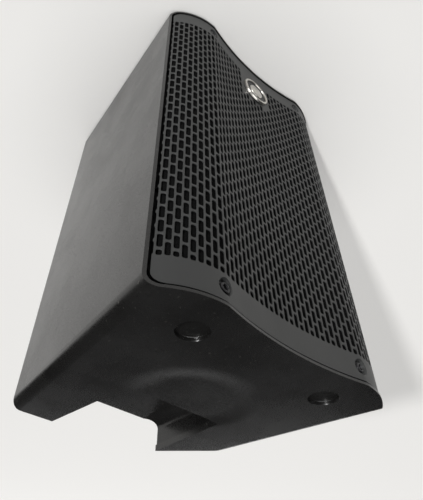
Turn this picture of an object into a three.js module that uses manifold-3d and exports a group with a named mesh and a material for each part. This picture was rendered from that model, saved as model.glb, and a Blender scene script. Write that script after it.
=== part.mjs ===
// Compact two-way powered loudspeaker in a moulded cabinet.
// Millimetres, +Z up, front faces -Y, origin on the ground under the middle of the cabinet.
// Depths are measured backwards from the two front crests of the cabinet.
import * as THREE from 'three';
import { mergeVertices } from 'three/addons/utils/BufferGeometryUtils.js';
import Module from 'manifold-3d';

const wasm = await Module();
wasm.setup();

// ---------------------------------------------------------------- driving dimensions
const gap = 0.3;
const foot = { height: 4, radius: 12, halfSpacing: 76, frontDepth: 40, rearDepth: 200 };
// One rear corner, on the +X side, is square; the other is cut off by a flat bevel to lie on as a monitor.
const cabinet = {
  height: 434,
  depth: 264,
  wall: 3.2,
  frontHalfWidth: 136,
  rearHalfWidth: 110,
  bevelSideDepth: 187,
  bevelBackX: -51,
  rearCornerRadius: 10,
  endRadius: 12,
};
const bottom = foot.height;
const top = bottom + cabinet.height;
const wave = { crestHalfWidth: 80, valleyDepth: 9, shoulderRadius: 78 };
const grille = { recess: 1.2, thickness: 1.5, halfWidth: 131.4, endGap: 1.2, cornerRadius: 9 };
const foam = { behindGrille: 0.4, thickness: 1.5 };
const grilleScrew = {
  halfSpacing: 80, fromEnd: 17, recess: 0.9, headRadius: 4.5, headLength: 5, shankRadius: 2, length: 22,
};
const badge = { radius: 20.5, thickness: 3, height: 57, hubRadius: 6 };
const dimple = { halfSpacing: 76, depthFromFront: 40, radius: 13.4, floorRadius: 12.5, sink: 3 };
const scoop = { radius: 58, centreDepth: 127, sink: 2.5 };
const pocket = {
  halfWidth: 62.5, floorDrop: 36.5, ceilingDrop: 6.5, frontDepth: 125, cornerRadius: 13,
  notchDepth: 147, notchHalfWidth: 55,
};
const baffle = { depth: 32, thickness: 4, edgeGap: 0.5, bossRadius: 6, bossHoleRadius: 2.4 };
const ledge = { width: 9, thickness: 4, screwHoleRadius: 1.9 };
const woofer = { height: bottom + 146, holeRadius: 96, coilRadius: 19.3 };
const horn = {
  height: bottom + 338, flangeHalfWidth: 108, flangeHalfHeight: 68, mouthHalfWidth: 98,
  mouthHalfHeight: 58, throatRadius: 12.7, throatDepth: 106, wall: 2.4,
};
const port = { halfSpacing: 97, height: bottom + 46, radius: 19, flareRadius: 24, wall: 2, length: 105 };
const poleCup = {
  radius: 17.9, wall: 2.6, depth: 84, flangeRadius: 29, lipRadius: 23.6, holeRadius: 24, centreDepth: 150,
};
const recess = { halfWidth: 59, low: bottom + 62, high: bottom + 326, sink: 14, rim: 3, ledge: 8 };
const panel = { halfWidth: 58.4, thickness: 2, edgeGap: 0.6, cornerInset: 4 };
const knob = { radius: 8, length: 9.5, halfSpacing: 26, height: bottom + 290, shaftRadius: 3 };
const socket = {
  halfSpacing: 27, height: bottom + 238, halfWidth: 13, halfHeight: 15.5, bore: 10, bodyRadius: 11.8,
};
const latch = { halfWidth: 3.2, halfHeight: 2.6, fromCentre: 12.7 };
const link = { x: -27, height: bottom + 192 };
const modeButton = { x: 27, height: bottom + 192, radius: 4 };
const inlet = {
  x: -18, height: bottom + 88, halfWidth: 25, halfHeight: 15, cavityDepth: 16, cavityHalfWidth: 12.5,
  cavityHalfHeight: 8.5,
};
const rocker = { x: 34, height: bottom + 88, halfWidth: 6.5, halfHeight: 10.5, tilt: 9 };
// The amplifier sits to one side, in the middle of the flat part of the back.
const rearCentre = 24;

const seatDepth = cabinet.depth - recess.sink;
const panelBack = seatDepth + gap;
const panelFace = panelBack + panel.thickness;

// ---------------------------------------------------------------- materials
function finish(color, roughness, metalness) {
  return new THREE.MeshStandardMaterial({ color, roughness, metalness });
}
const blackPlastic = finish(0x262626, 0.62, 0);
const glossBlack = finish(0x1c1c1d, 0.35, 0);
const grillePaint = finish(0x4a4b4c, 0.5, 0.3);
const foamBlack = finish(0x101010, 0.95, 0);
const silver = finish(0xb9b9b4, 0.3, 0.9);
const darkSteel = finish(0x2b2b2d, 0.35, 0.8);
const rubberBlack = finish(0x161616, 0.85, 0);
const paperBlack = finish(0x1d1d1f, 0.8, 0);
const zincSteel = finish(0x9a9c9e, 0.4, 0.85);
const ferrite = finish(0x3a3a3c, 0.7, 0.1);
const amberCloth = finish(0xa9843c, 0.85, 0);
const castAluminium = finish(0xa4a6a8, 0.45, 0.85);
const boardGreen = finish(0x1d4a2f, 0.5, 0);
const copper = finish(0xa8622e, 0.35, 0.9);

// ---------------------------------------------------------------- solids
function signedVolume(geometry) {
  const position = geometry.attributes.position;
  const index = geometry.index;
  const corner = [new THREE.Vector3(), new THREE.Vector3(), new THREE.Vector3()];
  let volume = 0;
  for (let i = 0; i < index.count; i += 3) {
    corner.forEach((point, k) => point.fromBufferAttribute(position, index.getX(i + k)));
    volume += corner[0].dot(corner[1].clone().cross(corner[2])) / 6;
  }
  return volume;
}

// Turns a closed geometry into a solid whose faces point outwards.
function solidOf(geometry) {
  geometry.deleteAttribute('normal');
  geometry.deleteAttribute('uv');
  const merged = mergeVertices(geometry, 1e-4);
  const triangles = new Uint32Array(merged.index.array);
  if (signedVolume(merged) < 0) {
    for (let i = 0; i < triangles.length; i += 3) {
      triangles.subarray(i + 1, i + 3).reverse();
    }
  }
  const vertices = new Float32Array(merged.attributes.position.array);
  return new wasm.Manifold(new wasm.Mesh({ numProp: 3, vertProperties: vertices, triVerts: triangles }));
}

function geometryOf(solid) {
  const cut = solid.getMesh();
  const geometry = new THREE.BufferGeometry();
  geometry.setAttribute('position', new THREE.BufferAttribute(new Float32Array(cut.vertProperties), 3));
  geometry.setIndex(new THREE.BufferAttribute(new Uint32Array(cut.triVerts), 1));
  geometry.computeVertexNormals();
  return geometry;
}

function box(lowX, highX, lowY, highY, lowZ, highZ) {
  const geometry = new THREE.BoxGeometry(highX - lowX, highY - lowY, highZ - lowZ);
  geometry.translate((lowX + highX) / 2, (lowY + highY) / 2, (lowZ + highZ) / 2);
  return solidOf(geometry);
}

// A round bar along Y, between two depths.
function rodY(radius, front, back, x = 0, z = 0, segments = 18) {
  const geometry = new THREE.CylinderGeometry(radius, radius, back - front, segments);
  geometry.translate(x, (front + back) / 2, z);
  return solidOf(geometry);
}

function rodZ(radius, low, high, x = 0, y = 0, segments = 32) {
  const geometry = new THREE.CylinderGeometry(radius, radius, high - low, segments);
  geometry.rotateX(Math.PI / 2);
  geometry.translate(x, y, (low + high) / 2);
  return solidOf(geometry);
}

// A turned piece about the Y axis, from a profile of [radius, depth] pairs.
function turnedY(profile, segments = 20) {
  const points = profile.map(([radius, depth]) => new THREE.Vector2(radius, depth));
  return solidOf(new THREE.LatheGeometry(points, segments));
}

// A turned piece about the Z axis, from a profile of [radius, height] pairs.
function turnedZ(profile, segments = 20) {
  const points = profile.map(([radius, height]) => new THREE.Vector2(radius, height));
  const geometry = new THREE.LatheGeometry(points, segments);
  geometry.rotateX(Math.PI / 2);
  return solidOf(geometry);
}

function prismZ(points, low, high) {
  const settings = { depth: high - low, bevelEnabled: false };
  const geometry = new THREE.ExtrudeGeometry(new THREE.Shape(points), settings);
  geometry.translate(0, 0, low);
  return solidOf(geometry);
}

// Corners of a rounded rectangle in a plane across Y; x is sideways and y stands for height.
function roundedRectangle(halfWidth, low, high, radius, steps = 5) {
  const points = [];
  const centreX = halfWidth - radius;
  const centres = [
    [centreX, high - radius], [-centreX, high - radius], [-centreX, low + radius], [centreX, low + radius],
  ];
  centres.forEach(([x, z], quarter) => {
    for (let step = 0; step <= steps; step += 1) {
      const angle = (quarter + step / steps) * Math.PI / 2;
      points.push(new THREE.Vector2(x + radius * Math.cos(angle), z + radius * Math.sin(angle)));
    }
  });
  return points;
}

// Skins a row of outlines that stand across Y at rising depths, and caps both ends.
function loftY(sections) {
  const count = sections[0].outline.length;
  const positions = sections.flatMap(({ depth, outline }) => outline.flatMap((p) => [p.x, depth, p.y]));
  const index = [];
  for (let row = 0; row + 1 < sections.length; row += 1) {
    for (let i = 0; i < count; i += 1) {
      const a = row * count + i;
      const b = row * count + (i + 1) % count;
      index.push(a, b, b + count, a, b + count, a + count);
    }
  }
  const last = (sections.length - 1) * count;
  for (const [a, b, c] of THREE.ShapeUtils.triangulateShape(sections[0].outline, [])) {
    index.push(a, c, b, last + a, last + b, last + c);
  }
  const geometry = new THREE.BufferGeometry();
  geometry.setAttribute('position', new THREE.Float32BufferAttribute(positions, 3));
  geometry.setIndex(index);
  return solidOf(geometry);
}

function plateY(outline, front, back) {
  return loftY([{ depth: front, outline }, { depth: back, outline }]);
}

// Moves an open outline sideways, to the right of its direction, keeping its corners mitred.
function offsetLine(points, distance) {
  return points.map((point, i) => {
    const before = points[Math.max(i - 1, 0)];
    const after = points[Math.min(i + 1, points.length - 1)];
    const into = point.clone().sub(i > 0 ? before : point);
    const out = after.clone().sub(i < points.length - 1 ? point : after);
    const first = (i > 0 ? into : out).clone().normalize();
    const second = (i < points.length - 1 ? out : into).clone().normalize();
    const normal = new THREE.Vector2(first.y + second.y, -first.x - second.x).normalize();
    const stretch = normal.dot(new THREE.Vector2(first.y, -first.x));
    return point.clone().addScaledVector(normal, distance / stretch);
  });
}

// ---------------------------------------------------------------- cabinet outlines
const valleyRadius = (wave.crestHalfWidth ** 2 + wave.valleyDepth ** 2) / (2 * wave.valleyDepth);

// Depth of the front face at a sideways position: a hollow between two crests, then round shoulders.
function frontDepth(x) {
  const reach = Math.abs(x);
  if (reach <= wave.crestHalfWidth) {
    return wave.valleyDepth - valleyRadius + Math.sqrt(valleyRadius ** 2 - reach ** 2);
  }
  return wave.shoulderRadius - Math.sqrt(wave.shoulderRadius ** 2 - (reach - wave.crestHalfWidth) ** 2);
}

const shoulderDepth = frontDepth(cabinet.frontHalfWidth);

// The front face from left to right, as an open line.
function frontLine(halfReach) {
  const shoulderSteps = 6;
  const valleySteps = 10;
  const stops = [];
  for (let i = 0; i < shoulderSteps; i += 1) {
    stops.push(-halfReach + (halfReach - wave.crestHalfWidth) * i / shoulderSteps);
  }
  for (let i = 0; i <= valleySteps; i += 1) {
    stops.push(wave.crestHalfWidth * (2 * i / valleySteps - 1));
  }
  for (let i = 1; i <= shoulderSteps; i += 1) {
    stops.push(wave.crestHalfWidth + (halfReach - wave.crestHalfWidth) * i / shoulderSteps);
  }
  return stops.map((x) => new THREE.Vector2(x, frontDepth(x)));
}

const sideTaper = (cabinet.frontHalfWidth - cabinet.rearHalfWidth) / (cabinet.depth - shoulderDepth);

// Half width of the tapering sides at a depth, measured to their outside or set in by a wall.
function halfWidthAt(depth, inset = 0) {
  return cabinet.frontHalfWidth - sideTaper * (depth - shoulderDepth) - inset * Math.hypot(1, sideTaper);
}

function roundedCorner(before, corner, after, reach) {
  const into = corner.clone().addScaledVector(before.clone().sub(corner).normalize(), reach);
  const out = corner.clone().addScaledVector(after.clone().sub(corner).normalize(), reach);
  return new THREE.QuadraticBezierCurve(into, corner, out).getPoints(4);
}

const beforeFront = -6;

// The cabinet seen from above, from its +X side round the back to its -X side, as a line open at the front.
function planLine() {
  const start = new THREE.Vector2(halfWidthAt(beforeFront), beforeFront);
  const squareCorner = new THREE.Vector2(cabinet.rearHalfWidth, cabinet.depth);
  const bevelBack = new THREE.Vector2(cabinet.bevelBackX, cabinet.depth);
  const bevelSide = new THREE.Vector2(-halfWidthAt(cabinet.bevelSideDepth), cabinet.bevelSideDepth);
  const end = new THREE.Vector2(-start.x, beforeFront);
  return [
    start,
    ...roundedCorner(start, squareCorner, bevelBack, cabinet.rearCornerRadius),
    bevelBack,
    ...roundedCorner(bevelBack, bevelSide, end, cabinet.rearCornerRadius / 2),
    end,
  ];
}

const outerPlan = planLine();
const innerPlan = offsetLine(outerPlan, -cabinet.wall);

// The space between the two sides, the two ends and the back, open at the front.
function hull(plan, inset) {
  const radius = cabinet.endRadius - inset;
  const sides = loftY([beforeFront, cabinet.depth].map((depth) => ({
    depth,
    outline: roundedRectangle(halfWidthAt(depth, inset), bottom + inset, top - inset, radius),
  })));
  return prismZ(plan, bottom, top).intersect(sides);
}

// ---------------------------------------------------------------- cabinet
function rearRecess(depthReach) {
  const frame = box(-recess.halfWidth - recess.rim, recess.halfWidth + recess.rim, seatDepth - recess.rim,
    cabinet.depth - cabinet.wall / 2, recess.low - recess.rim, recess.high + recess.rim);
  const well = box(-recess.halfWidth, recess.halfWidth, seatDepth, cabinet.depth + depthReach, recess.low,
    recess.high);
  const opening = box(-recess.halfWidth + recess.ledge, recess.halfWidth - recess.ledge,
    seatDepth - depthReach, cabinet.depth, recess.low + recess.ledge, recess.high - recess.ledge);
  const place = [rearCentre, 0, 0];
  return { frame: frame.translate(place), cuts: well.add(opening).translate(place) };
}

function handlePocket(past) {
  const floor = top - pocket.floorDrop;
  const wall = cabinet.wall;
  const bowl = (grow, ceiling, back) => {
    const radius = pocket.cornerRadius + grow;
    const outline = roundedRectangle(pocket.halfWidth + grow, floor - grow, ceiling + radius, radius);
    const above = box(-past * 10, past * 10, 0, past * 25, ceiling, top + past * 2);
    return plateY(outline, pocket.frontDepth - grow, back).subtract(above);
  };
  const casing = bowl(wall, top - wall / 2, cabinet.depth);
  const hollow = bowl(0, top - pocket.ceilingDrop, cabinet.depth + past);
  const mouthSlope = (pocket.halfWidth - pocket.notchHalfWidth) / (cabinet.depth - pocket.notchDepth);
  const backReach = pocket.halfWidth + past * mouthSlope;
  const notch = prismZ([
    new THREE.Vector2(-pocket.notchHalfWidth, pocket.notchDepth),
    new THREE.Vector2(pocket.notchHalfWidth, pocket.notchDepth),
    new THREE.Vector2(backReach, cabinet.depth + past),
    new THREE.Vector2(-backReach, cabinet.depth + past),
  ], floor + pocket.cornerRadius, top + past);
  return { casing, cuts: hollow.add(notch) };
}

function cabinetShell() {
  const past = 12;
  const behindFront = prismZ([
    ...frontLine(cabinet.frontHalfWidth + past),
    new THREE.Vector2(cabinet.frontHalfWidth + past, cabinet.depth + past),
    new THREE.Vector2(-cabinet.frontHalfWidth - past, cabinet.depth + past),
  ], bottom - past, top + past);
  const outer = hull(outerPlan, 0).intersect(behindFront);
  const cavity = hull(innerPlan, cabinet.wall);
  const seat = baffle.depth + baffle.thickness + gap;
  const rim = box(-cabinet.frontHalfWidth, cabinet.frontHalfWidth, seat, seat + ledge.thickness, bottom, top)
    .subtract(plateY(roundedRectangle(
      halfWidthAt(seat, cabinet.wall) - ledge.width, bottom + cabinet.wall + ledge.width,
      top - cabinet.wall - ledge.width, cabinet.endRadius), seat - past, seat + past))
    .intersect(outer);
  const handle = handlePocket(past);
  const rear = rearRecess(past);
  let shell = outer.subtract(cavity).add(rim);
  shell = shell.add(rear.frame.intersect(outer)).add(handle.casing.intersect(outer));
  const domeRadius = (scoop.radius ** 2 + scoop.sink ** 2) / (2 * scoop.sink);
  const under = top - cabinet.wall;
  const behindPocket = box(-past * 10, past * 10, pocket.frontDepth, past * 30, 0, top);
  const backing = rodZ(scoop.radius + cabinet.wall, under - scoop.sink, under + 1, 0, scoop.centreDepth, 40);
  shell = shell.add(backing.subtract(behindPocket));
  const bowlProfile = [[0, top - scoop.sink]];
  const rings = 4;
  for (let i = 1; i <= rings; i += 1) {
    const reach = scoop.radius * i / rings;
    bowlProfile.push([reach, top - scoop.sink + domeRadius - Math.sqrt(domeRadius ** 2 - reach ** 2)]);
  }
  bowlProfile.push([scoop.radius, top + past], [0, top + past]);
  const dish = turnedZ(bowlProfile, 40).translate([0, scoop.centreDepth, 0]);
  shell = shell.subtract(dish).subtract(handle.cuts).subtract(rear.cuts);
  for (const side of [-1, 1]) {
    const x = side * dimple.halfSpacing;
    const floor = top - dimple.sink;
    const cup = turnedZ([[0, floor], [dimple.floorRadius, floor], [dimple.radius, top],
      [dimple.radius, top + past], [0, top + past]], 28);
    shell = shell.add(rodZ(dimple.radius + cabinet.wall, floor - cabinet.wall, under + 1, x,
      dimple.depthFromFront));
    shell = shell.subtract(cup.translate([x, dimple.depthFromFront, 0]));
  }
  shell = shell.subtract(rodZ(poleCup.holeRadius, bottom - past, bottom + past, 0, poleCup.centreDepth));
  for (const [x, z] of baffleScrewPlaces()) {
    shell = shell.subtract(rodY(ledge.screwHoleRadius + gap, seat - past, seat + past, x, z, 12));
  }
  for (const [x, z] of panelScrewPlaces()) {
    shell = shell.subtract(rodY(1.5 + gap, seatDepth - past, seatDepth + past, rearCentre + x, z, 12));
  }
  return shell;
}

function baffleScrewPlaces() {
  const x = halfWidthAt(baffle.depth, cabinet.wall) - ledge.width / 2;
  return [[-x, bottom + 130], [x, bottom + 130], [-x, top - 110], [x, top - 110]];
}

function panelScrewPlaces() {
  const x = panel.halfWidth - panel.cornerInset;
  const low = recess.low + panel.edgeGap + panel.cornerInset;
  const high = recess.high - panel.edgeGap - panel.cornerInset;
  return [[-x, low], [x, low], [-x, high], [x, high]];
}

function grilleScrewPlaces() {
  const x = grilleScrew.halfSpacing;
  return [[-x, bottom + grilleScrew.fromEnd], [x, bottom + grilleScrew.fromEnd],
    [-x, top - grilleScrew.fromEnd], [x, top - grilleScrew.fromEnd]];
}

// ---------------------------------------------------------------- front
function frontBaffle() {
  const halfWidth = halfWidthAt(baffle.depth + baffle.thickness, cabinet.wall) - baffle.edgeGap;
  const inset = cabinet.wall + baffle.edgeGap;
  const back = baffle.depth + baffle.thickness;
  let plate = plateY(roundedRectangle(halfWidth, bottom + inset, top - inset, cabinet.endRadius - inset),
    baffle.depth, back);
  plate = plate.subtract(rodY(woofer.holeRadius, 0, back + 9, 0, woofer.height, 36));
  const hornReach = horn.mouthHalfHeight + 4;
  plate = plate.subtract(plateY(roundedRectangle(horn.mouthHalfWidth + 4, horn.height - hornReach,
    horn.height + hornReach, 20, 3), 0, back + 9));
  const dimpleUnder = top - cabinet.wall - dimple.sink - baffle.edgeGap;
  const portHole = port.radius + port.wall + 2 * gap;
  for (const side of [-1, 1]) {
    plate = plate.subtract(rodY(portHole, 0, back + 9, side * port.halfSpacing, port.height));
    plate = plate.subtract(rodZ(dimple.radius + cabinet.wall + baffle.edgeGap, dimpleUnder, top,
      side * dimple.halfSpacing, dimple.depthFromFront));
  }
  const bossFront = frontDepth(grilleScrew.halfSpacing) + grilleScrew.recess + grilleScrew.headLength + gap;
  for (const [x, z] of grilleScrewPlaces()) {
    plate = plate.add(rodY(baffle.bossRadius, bossFront, back, x, z, 16));
    plate = plate.subtract(rodY(baffle.bossHoleRadius, 0, back + 9, x, z, 12));
  }
  for (const [x, z] of baffleScrewPlaces()) {
    plate = plate.subtract(rodY(ledge.screwHoleRadius + gap, 0, back + 9, x, z, 12));
  }
  return plate;
}

// A sheet that follows the front face, set back from it.
function frontSheet(setBack, thickness, halfWidth, endInset, cornerRadius) {
  const line = frontLine(cabinet.frontHalfWidth + 3);
  const face = offsetLine(line, -setBack);
  const back = offsetLine(line, -setBack - thickness).reverse();
  const band = prismZ([...face, ...back], bottom - 5, top + 5);
  return band.intersect(plateY(
    roundedRectangle(halfWidth, bottom + endInset, top - endInset, cornerRadius), -20, 60));
}

function grillePanel() {
  let sheet = frontSheet(grille.recess, grille.thickness, grille.halfWidth, cabinet.wall + grille.endGap,
    grille.cornerRadius);
  for (const [x, z] of grilleScrewPlaces()) {
    sheet = sheet.subtract(rodY(grilleScrew.headRadius + gap, -9, 20, x, z, 20));
  }
  return sheet;
}

function foamSheet() {
  const setBack = grille.recess + grille.thickness + foam.behindGrille;
  let sheet = frontSheet(setBack, foam.thickness, grille.halfWidth - 4, cabinet.wall + grille.endGap + 3, 6);
  for (const [x, z] of grilleScrewPlaces()) {
    sheet = sheet.subtract(rodY(baffle.bossRadius + 2, -9, 30, x, z, 16));
  }
  return sheet;
}

function screw(headRadius, headLength, shankRadius, length, segments = 10) {
  return turnedY([[0, 0], [headRadius, 0], [headRadius, headLength], [shankRadius, headLength],
    [shankRadius, length], [0, length]], segments);
}

function badgeDisc() {
  const { radius, thickness, hubRadius } = badge;
  return turnedY([[0, 0.4], [hubRadius, 0.4], [hubRadius + 1, 1.1], [radius - 3.5, 1.1], [radius - 3, 0],
    [radius - 0.6, 0], [radius, 0.6], [radius, thickness], [0, thickness]]);
}

// ---------------------------------------------------------------- woofer, turned about its own axis
function wooferFrame() {
  const basket = turnedY([
    [104, 27.7], [104, 31.7], [94.8, 31.7], [94.2, 50], [58, 86], [58, 91.6], [24, 91.6], [24, 88.8],
    [54.8, 88.8], [54.8, 85], [91.4, 48.6], [91.6, 29.7], [97, 29.7], [97, 27.7], [104, 27.7],
  ], 30);
  const windows = 6;
  const windowHalfWidth = 17;
  let frame = basket;
  for (let i = 0; i < windows; i += 1) {
    const slot = box(-windowHalfWidth, windowHalfWidth, 52, 82, 40, 110);
    frame = frame.subtract(slot.rotate([0, (i + 0.5) * 360 / windows, 0]));
  }
  for (const [x, z] of wooferScrewOffsets()) {
    frame = frame.subtract(rodY(2.2, 20, 40, x, z, 12));
  }
  return frame;
}

function wooferScrewOffsets() {
  const reach = 100.4 * Math.SQRT1_2;
  return [[-reach, -reach], [reach, -reach], [-reach, reach], [reach, reach]];
}

function wooferSurround() {
  const rollCentre = 84;
  const seatDepthFront = 28.2;
  const outline = [[77.2, seatDepthFront + 1.2], [77.2, seatDepthFront]];
  const steps = 4;
  for (let i = 0; i <= steps; i += 1) {
    const angle = Math.PI * (1 - i / steps);
    outline.push([rollCentre + 6.4 * Math.cos(angle), seatDepthFront - 6.4 * Math.sin(angle)]);
  }
  outline.push([96.6, seatDepthFront], [96.6, seatDepthFront + 1.2]);
  for (let i = 0; i <= steps; i += 1) {
    const angle = Math.PI * i / steps;
    outline.push([rollCentre + 5.2 * Math.cos(angle), seatDepthFront + 1.2 - 5.2 * Math.sin(angle)]);
  }
  outline.push(outline[0]);
  return turnedY(outline, 30);
}

function wooferCone() {
  const outer = [];
  const inner = [];
  const steps = 3;
  for (let i = 0; i <= steps; i += 1) {
    const t = i / steps;
    const radius = 76.6 - 56.6 * t;
    const depth = 29 + 37 * t + 5 * Math.sin(Math.PI * t);
    outer.push([radius, depth]);
    inner.unshift([radius + (i === 0 ? 0 : 0.4), depth + 1.2]);
  }
  return turnedY([...outer, ...inner, outer[0]], 30);
}

function dustCap() {
  const outer = [];
  const inner = [];
  const steps = 3;
  for (let i = 0; i <= steps; i += 1) {
    const angle = (Math.PI / 3) * i / steps;
    outer.push([33 * Math.sin(angle), 65 - 33 * (Math.cos(angle) - 0.5)]);
    inner.unshift([32 * Math.sin(angle), 65 - 32 * (Math.cos(angle) - 0.5) + 0.4]);
  }
  return turnedY([...outer, ...inner]);
}

function voiceCoil() {
  const bore = woofer.coilRadius - 0.5;
  const wound = woofer.coilRadius + 0.5;
  return turnedY([[bore, 67.4], [woofer.coilRadius, 67.4], [woofer.coilRadius, 90], [wound, 90],
    [wound, 102], [bore, 102], [bore, 67.4]]);
}

function spider() {
  const front = [];
  const back = [];
  const waves = 2;
  const steps = waves * 3;
  for (let i = 0; i <= steps; i += 1) {
    const t = i / steps;
    const radius = 21 + 32 * t;
    const depth = 80 + 1.5 * Math.sin(2 * Math.PI * waves * t) + 5.6 * t;
    front.push([radius, depth]);
    back.unshift([radius, depth + 0.9]);
  }
  return turnedY([...front, ...back, front[0]]);
}

// ---------------------------------------------------------------- horn and its driver
function hornBell() {
  const stations = 5;
  const bell = (grow, front, back) => {
    const sections = [];
    for (let i = 0; i <= stations; i += 1) {
      const t = i / stations;
      const flare = (1 - t) ** 1.7;
      const halfWidth = horn.throatRadius + (horn.mouthHalfWidth - horn.throatRadius) * flare + grow;
      const halfHeight = horn.throatRadius + (horn.mouthHalfHeight - horn.throatRadius) * flare + grow;
      const radius = Math.min(halfWidth, halfHeight) - 0.01 - flare * (horn.mouthHalfHeight - 22);
      sections.push({
        depth: front + (back - front) * t,
        outline: roundedRectangle(halfWidth, -halfHeight, halfHeight, radius, 4),
      });
    }
    return loftY(sections);
  };
  const front = 28;
  const rim = roundedRectangle(horn.flangeHalfWidth, -horn.flangeHalfHeight, horn.flangeHalfHeight, 16, 3);
  const flange = plateY(rim, front, baffle.depth - gap);
  const throatFlange = rodY(36, horn.throatDepth - 4, horn.throatDepth, 0, 0, 28);
  return flange.add(bell(horn.wall, front, horn.throatDepth)).add(throatFlange)
    .subtract(bell(0, front - 0.5, horn.throatDepth + 0.5));
}

function driverPlate() {
  return turnedY([[12.9, 0], [36, 0], [36, 6], [30, 6], [30, 8], [12.9, 8], [12.9, 0]]);
}

function driverMagnet() {
  return turnedY([[14, 0], [42, 0], [42, 16], [14, 16], [14, 0]]);
}

function driverCover() {
  return turnedY([[0, 0], [38, 0], [38, 4], [33, 14], [22, 19], [0, 20]]);
}

function portTube() {
  const { radius, flareRadius, wall, length } = port;
  return turnedY([
    [radius, length], [radius, 8], [radius + 2, 3], [flareRadius - 1, 0], [flareRadius + 1, 0],
    [flareRadius + 1, 3.6], [radius + wall, 3.6], [radius + wall, length], [radius, length],
  ]);
}

function poleCupSolid() {
  const outer = poleCup.radius + poleCup.wall;
  const inside = bottom + cabinet.wall + gap;
  return turnedZ([
    [0, bottom + poleCup.depth + 4], [outer, bottom + poleCup.depth + 4], [outer, inside + 3],
    [poleCup.flangeRadius, inside + 3], [poleCup.flangeRadius, inside], [poleCup.lipRadius, inside],
    [poleCup.lipRadius, bottom], [poleCup.radius, bottom], [poleCup.radius, bottom + poleCup.depth],
    [0, bottom + poleCup.depth],
  ]);
}

function footPad() {
  return turnedZ([[0, 0], [foot.radius - 1.5, 0], [foot.radius, 1.5], [foot.radius, foot.height - gap],
    [0, foot.height - gap]], 20);
}

// ---------------------------------------------------------------- amplifier
function amplifierPanel() {
  let plate = box(-panel.halfWidth, panel.halfWidth, panelBack, panelFace, recess.low + panel.edgeGap,
    recess.high - panel.edgeGap);
  const hole = (radius, x, z) => rodY(radius, panelBack - 5, panelFace + 5, x, z, 20);
  for (const side of [-1, 1]) {
    plate = plate.subtract(hole(knob.shaftRadius + gap, side * knob.halfSpacing, knob.height));
    const x = side * socket.halfSpacing;
    plate = plate.subtract(hole(socket.bodyRadius + gap, x, socket.height));
    const tab = socket.height + latch.fromCentre;
    plate = plate.subtract(box(x - latch.halfWidth - gap, x + latch.halfWidth + gap, panelBack - 5,
      panelFace + 5, tab - 5, tab + latch.halfHeight));
  }
  plate = plate.subtract(hole(socket.bodyRadius + gap, link.x, link.height));
  plate = plate.subtract(hole(modeButton.radius + gap, modeButton.x, modeButton.height));
  plate = plate.subtract(box(inlet.x - 15.8, inlet.x + 15.8, panelBack - 5, panelFace + 5,
    inlet.height - 11.8, inlet.height + 11.8));
  plate = plate.subtract(box(rocker.x - 9.3, rocker.x + 9.3, panelBack - 5, panelFace + 5,
    rocker.height - 13.3, rocker.height + 13.3));
  for (const [x, z] of panelScrewPlaces()) {
    plate = plate.subtract(hole(1.5 + gap, x, z));
  }
  return plate;
}

function heatsink() {
  const fins = 8;
  const pitch = 11;
  const low = bottom + 112;
  const high = bottom + 164;
  const base = box(-44, 44, panelBack - gap - 4, panelBack - gap, low, high);
  let block = base;
  for (let i = 0; i < fins; i += 1) {
    const x = (i - (fins - 1) / 2) * pitch;
    block = block.add(box(x - 1.2, x + 1.2, panelBack - 26, panelBack - gap - 3, low, high));
  }
  return block;
}

function boardWithParts(low, high, front, towardsBack, chips) {
  let board = box(-45, 45, front, front + 1.6, low, high);
  for (const [x, z, halfWidth, halfHeight, height] of chips) {
    const lowY = towardsBack ? front + 1 : front - height;
    const highY = towardsBack ? front + 1.6 + height : front + 1;
    board = board.add(box(x - halfWidth, x + halfWidth, lowY, highY, z - halfHeight, z + halfHeight));
  }
  return board;
}

function amplifierBoard() {
  const low = bottom + 70;
  return boardWithParts(low, bottom + 168, panelBack - 30, false, [
    [-30, low + 84, 7, 7, 14], [-12, low + 84, 7, 7, 14], [14, low + 86, 12, 6, 9],
    [-28, low + 58, 9, 9, 11],
  ]);
}

function inputBoard() {
  const low = bottom + 176;
  return boardWithParts(low, bottom + 314, panelBack - 32, false, [
    [0, low + 30, 9, 9, 3], [-24, low + 84, 5, 8, 3], [24, low + 70, 8, 5, 3], [4, low + 110, 6, 4, 5],
  ]);
}

// The power transformer: a wound ring that lies flat against the amplifier board.
function transformer() {
  const steps = 6;
  const outline = [];
  for (let i = 0; i <= steps; i += 1) {
    const angle = 2 * Math.PI * i / steps;
    outline.push([19 + 9 * Math.cos(angle), 9 * Math.sin(angle)]);
  }
  outline[steps] = outline[0];
  return turnedY(outline);
}

function levelPot() {
  const shaft = rodY(knob.shaftRadius, panelBack - 2, panelFace + 6);
  return box(-6, 6, panelBack - 12, panelBack - gap, -6, 6).add(shaft);
}

function levelKnob() {
  const { radius, length } = knob;
  const cap = turnedY([[0, length], [radius - 1.6, length], [radius - 0.6, length - 1], [radius, 0.6],
    [radius, 0], [0, 0]], 20);
  const bore = rodY(knob.shaftRadius + gap, -1, 5.6);
  const pointer = box(-0.6, 0.6, length - 0.6, length + 2, 1.5, radius);
  return cap.subtract(bore).subtract(pointer);
}

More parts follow.
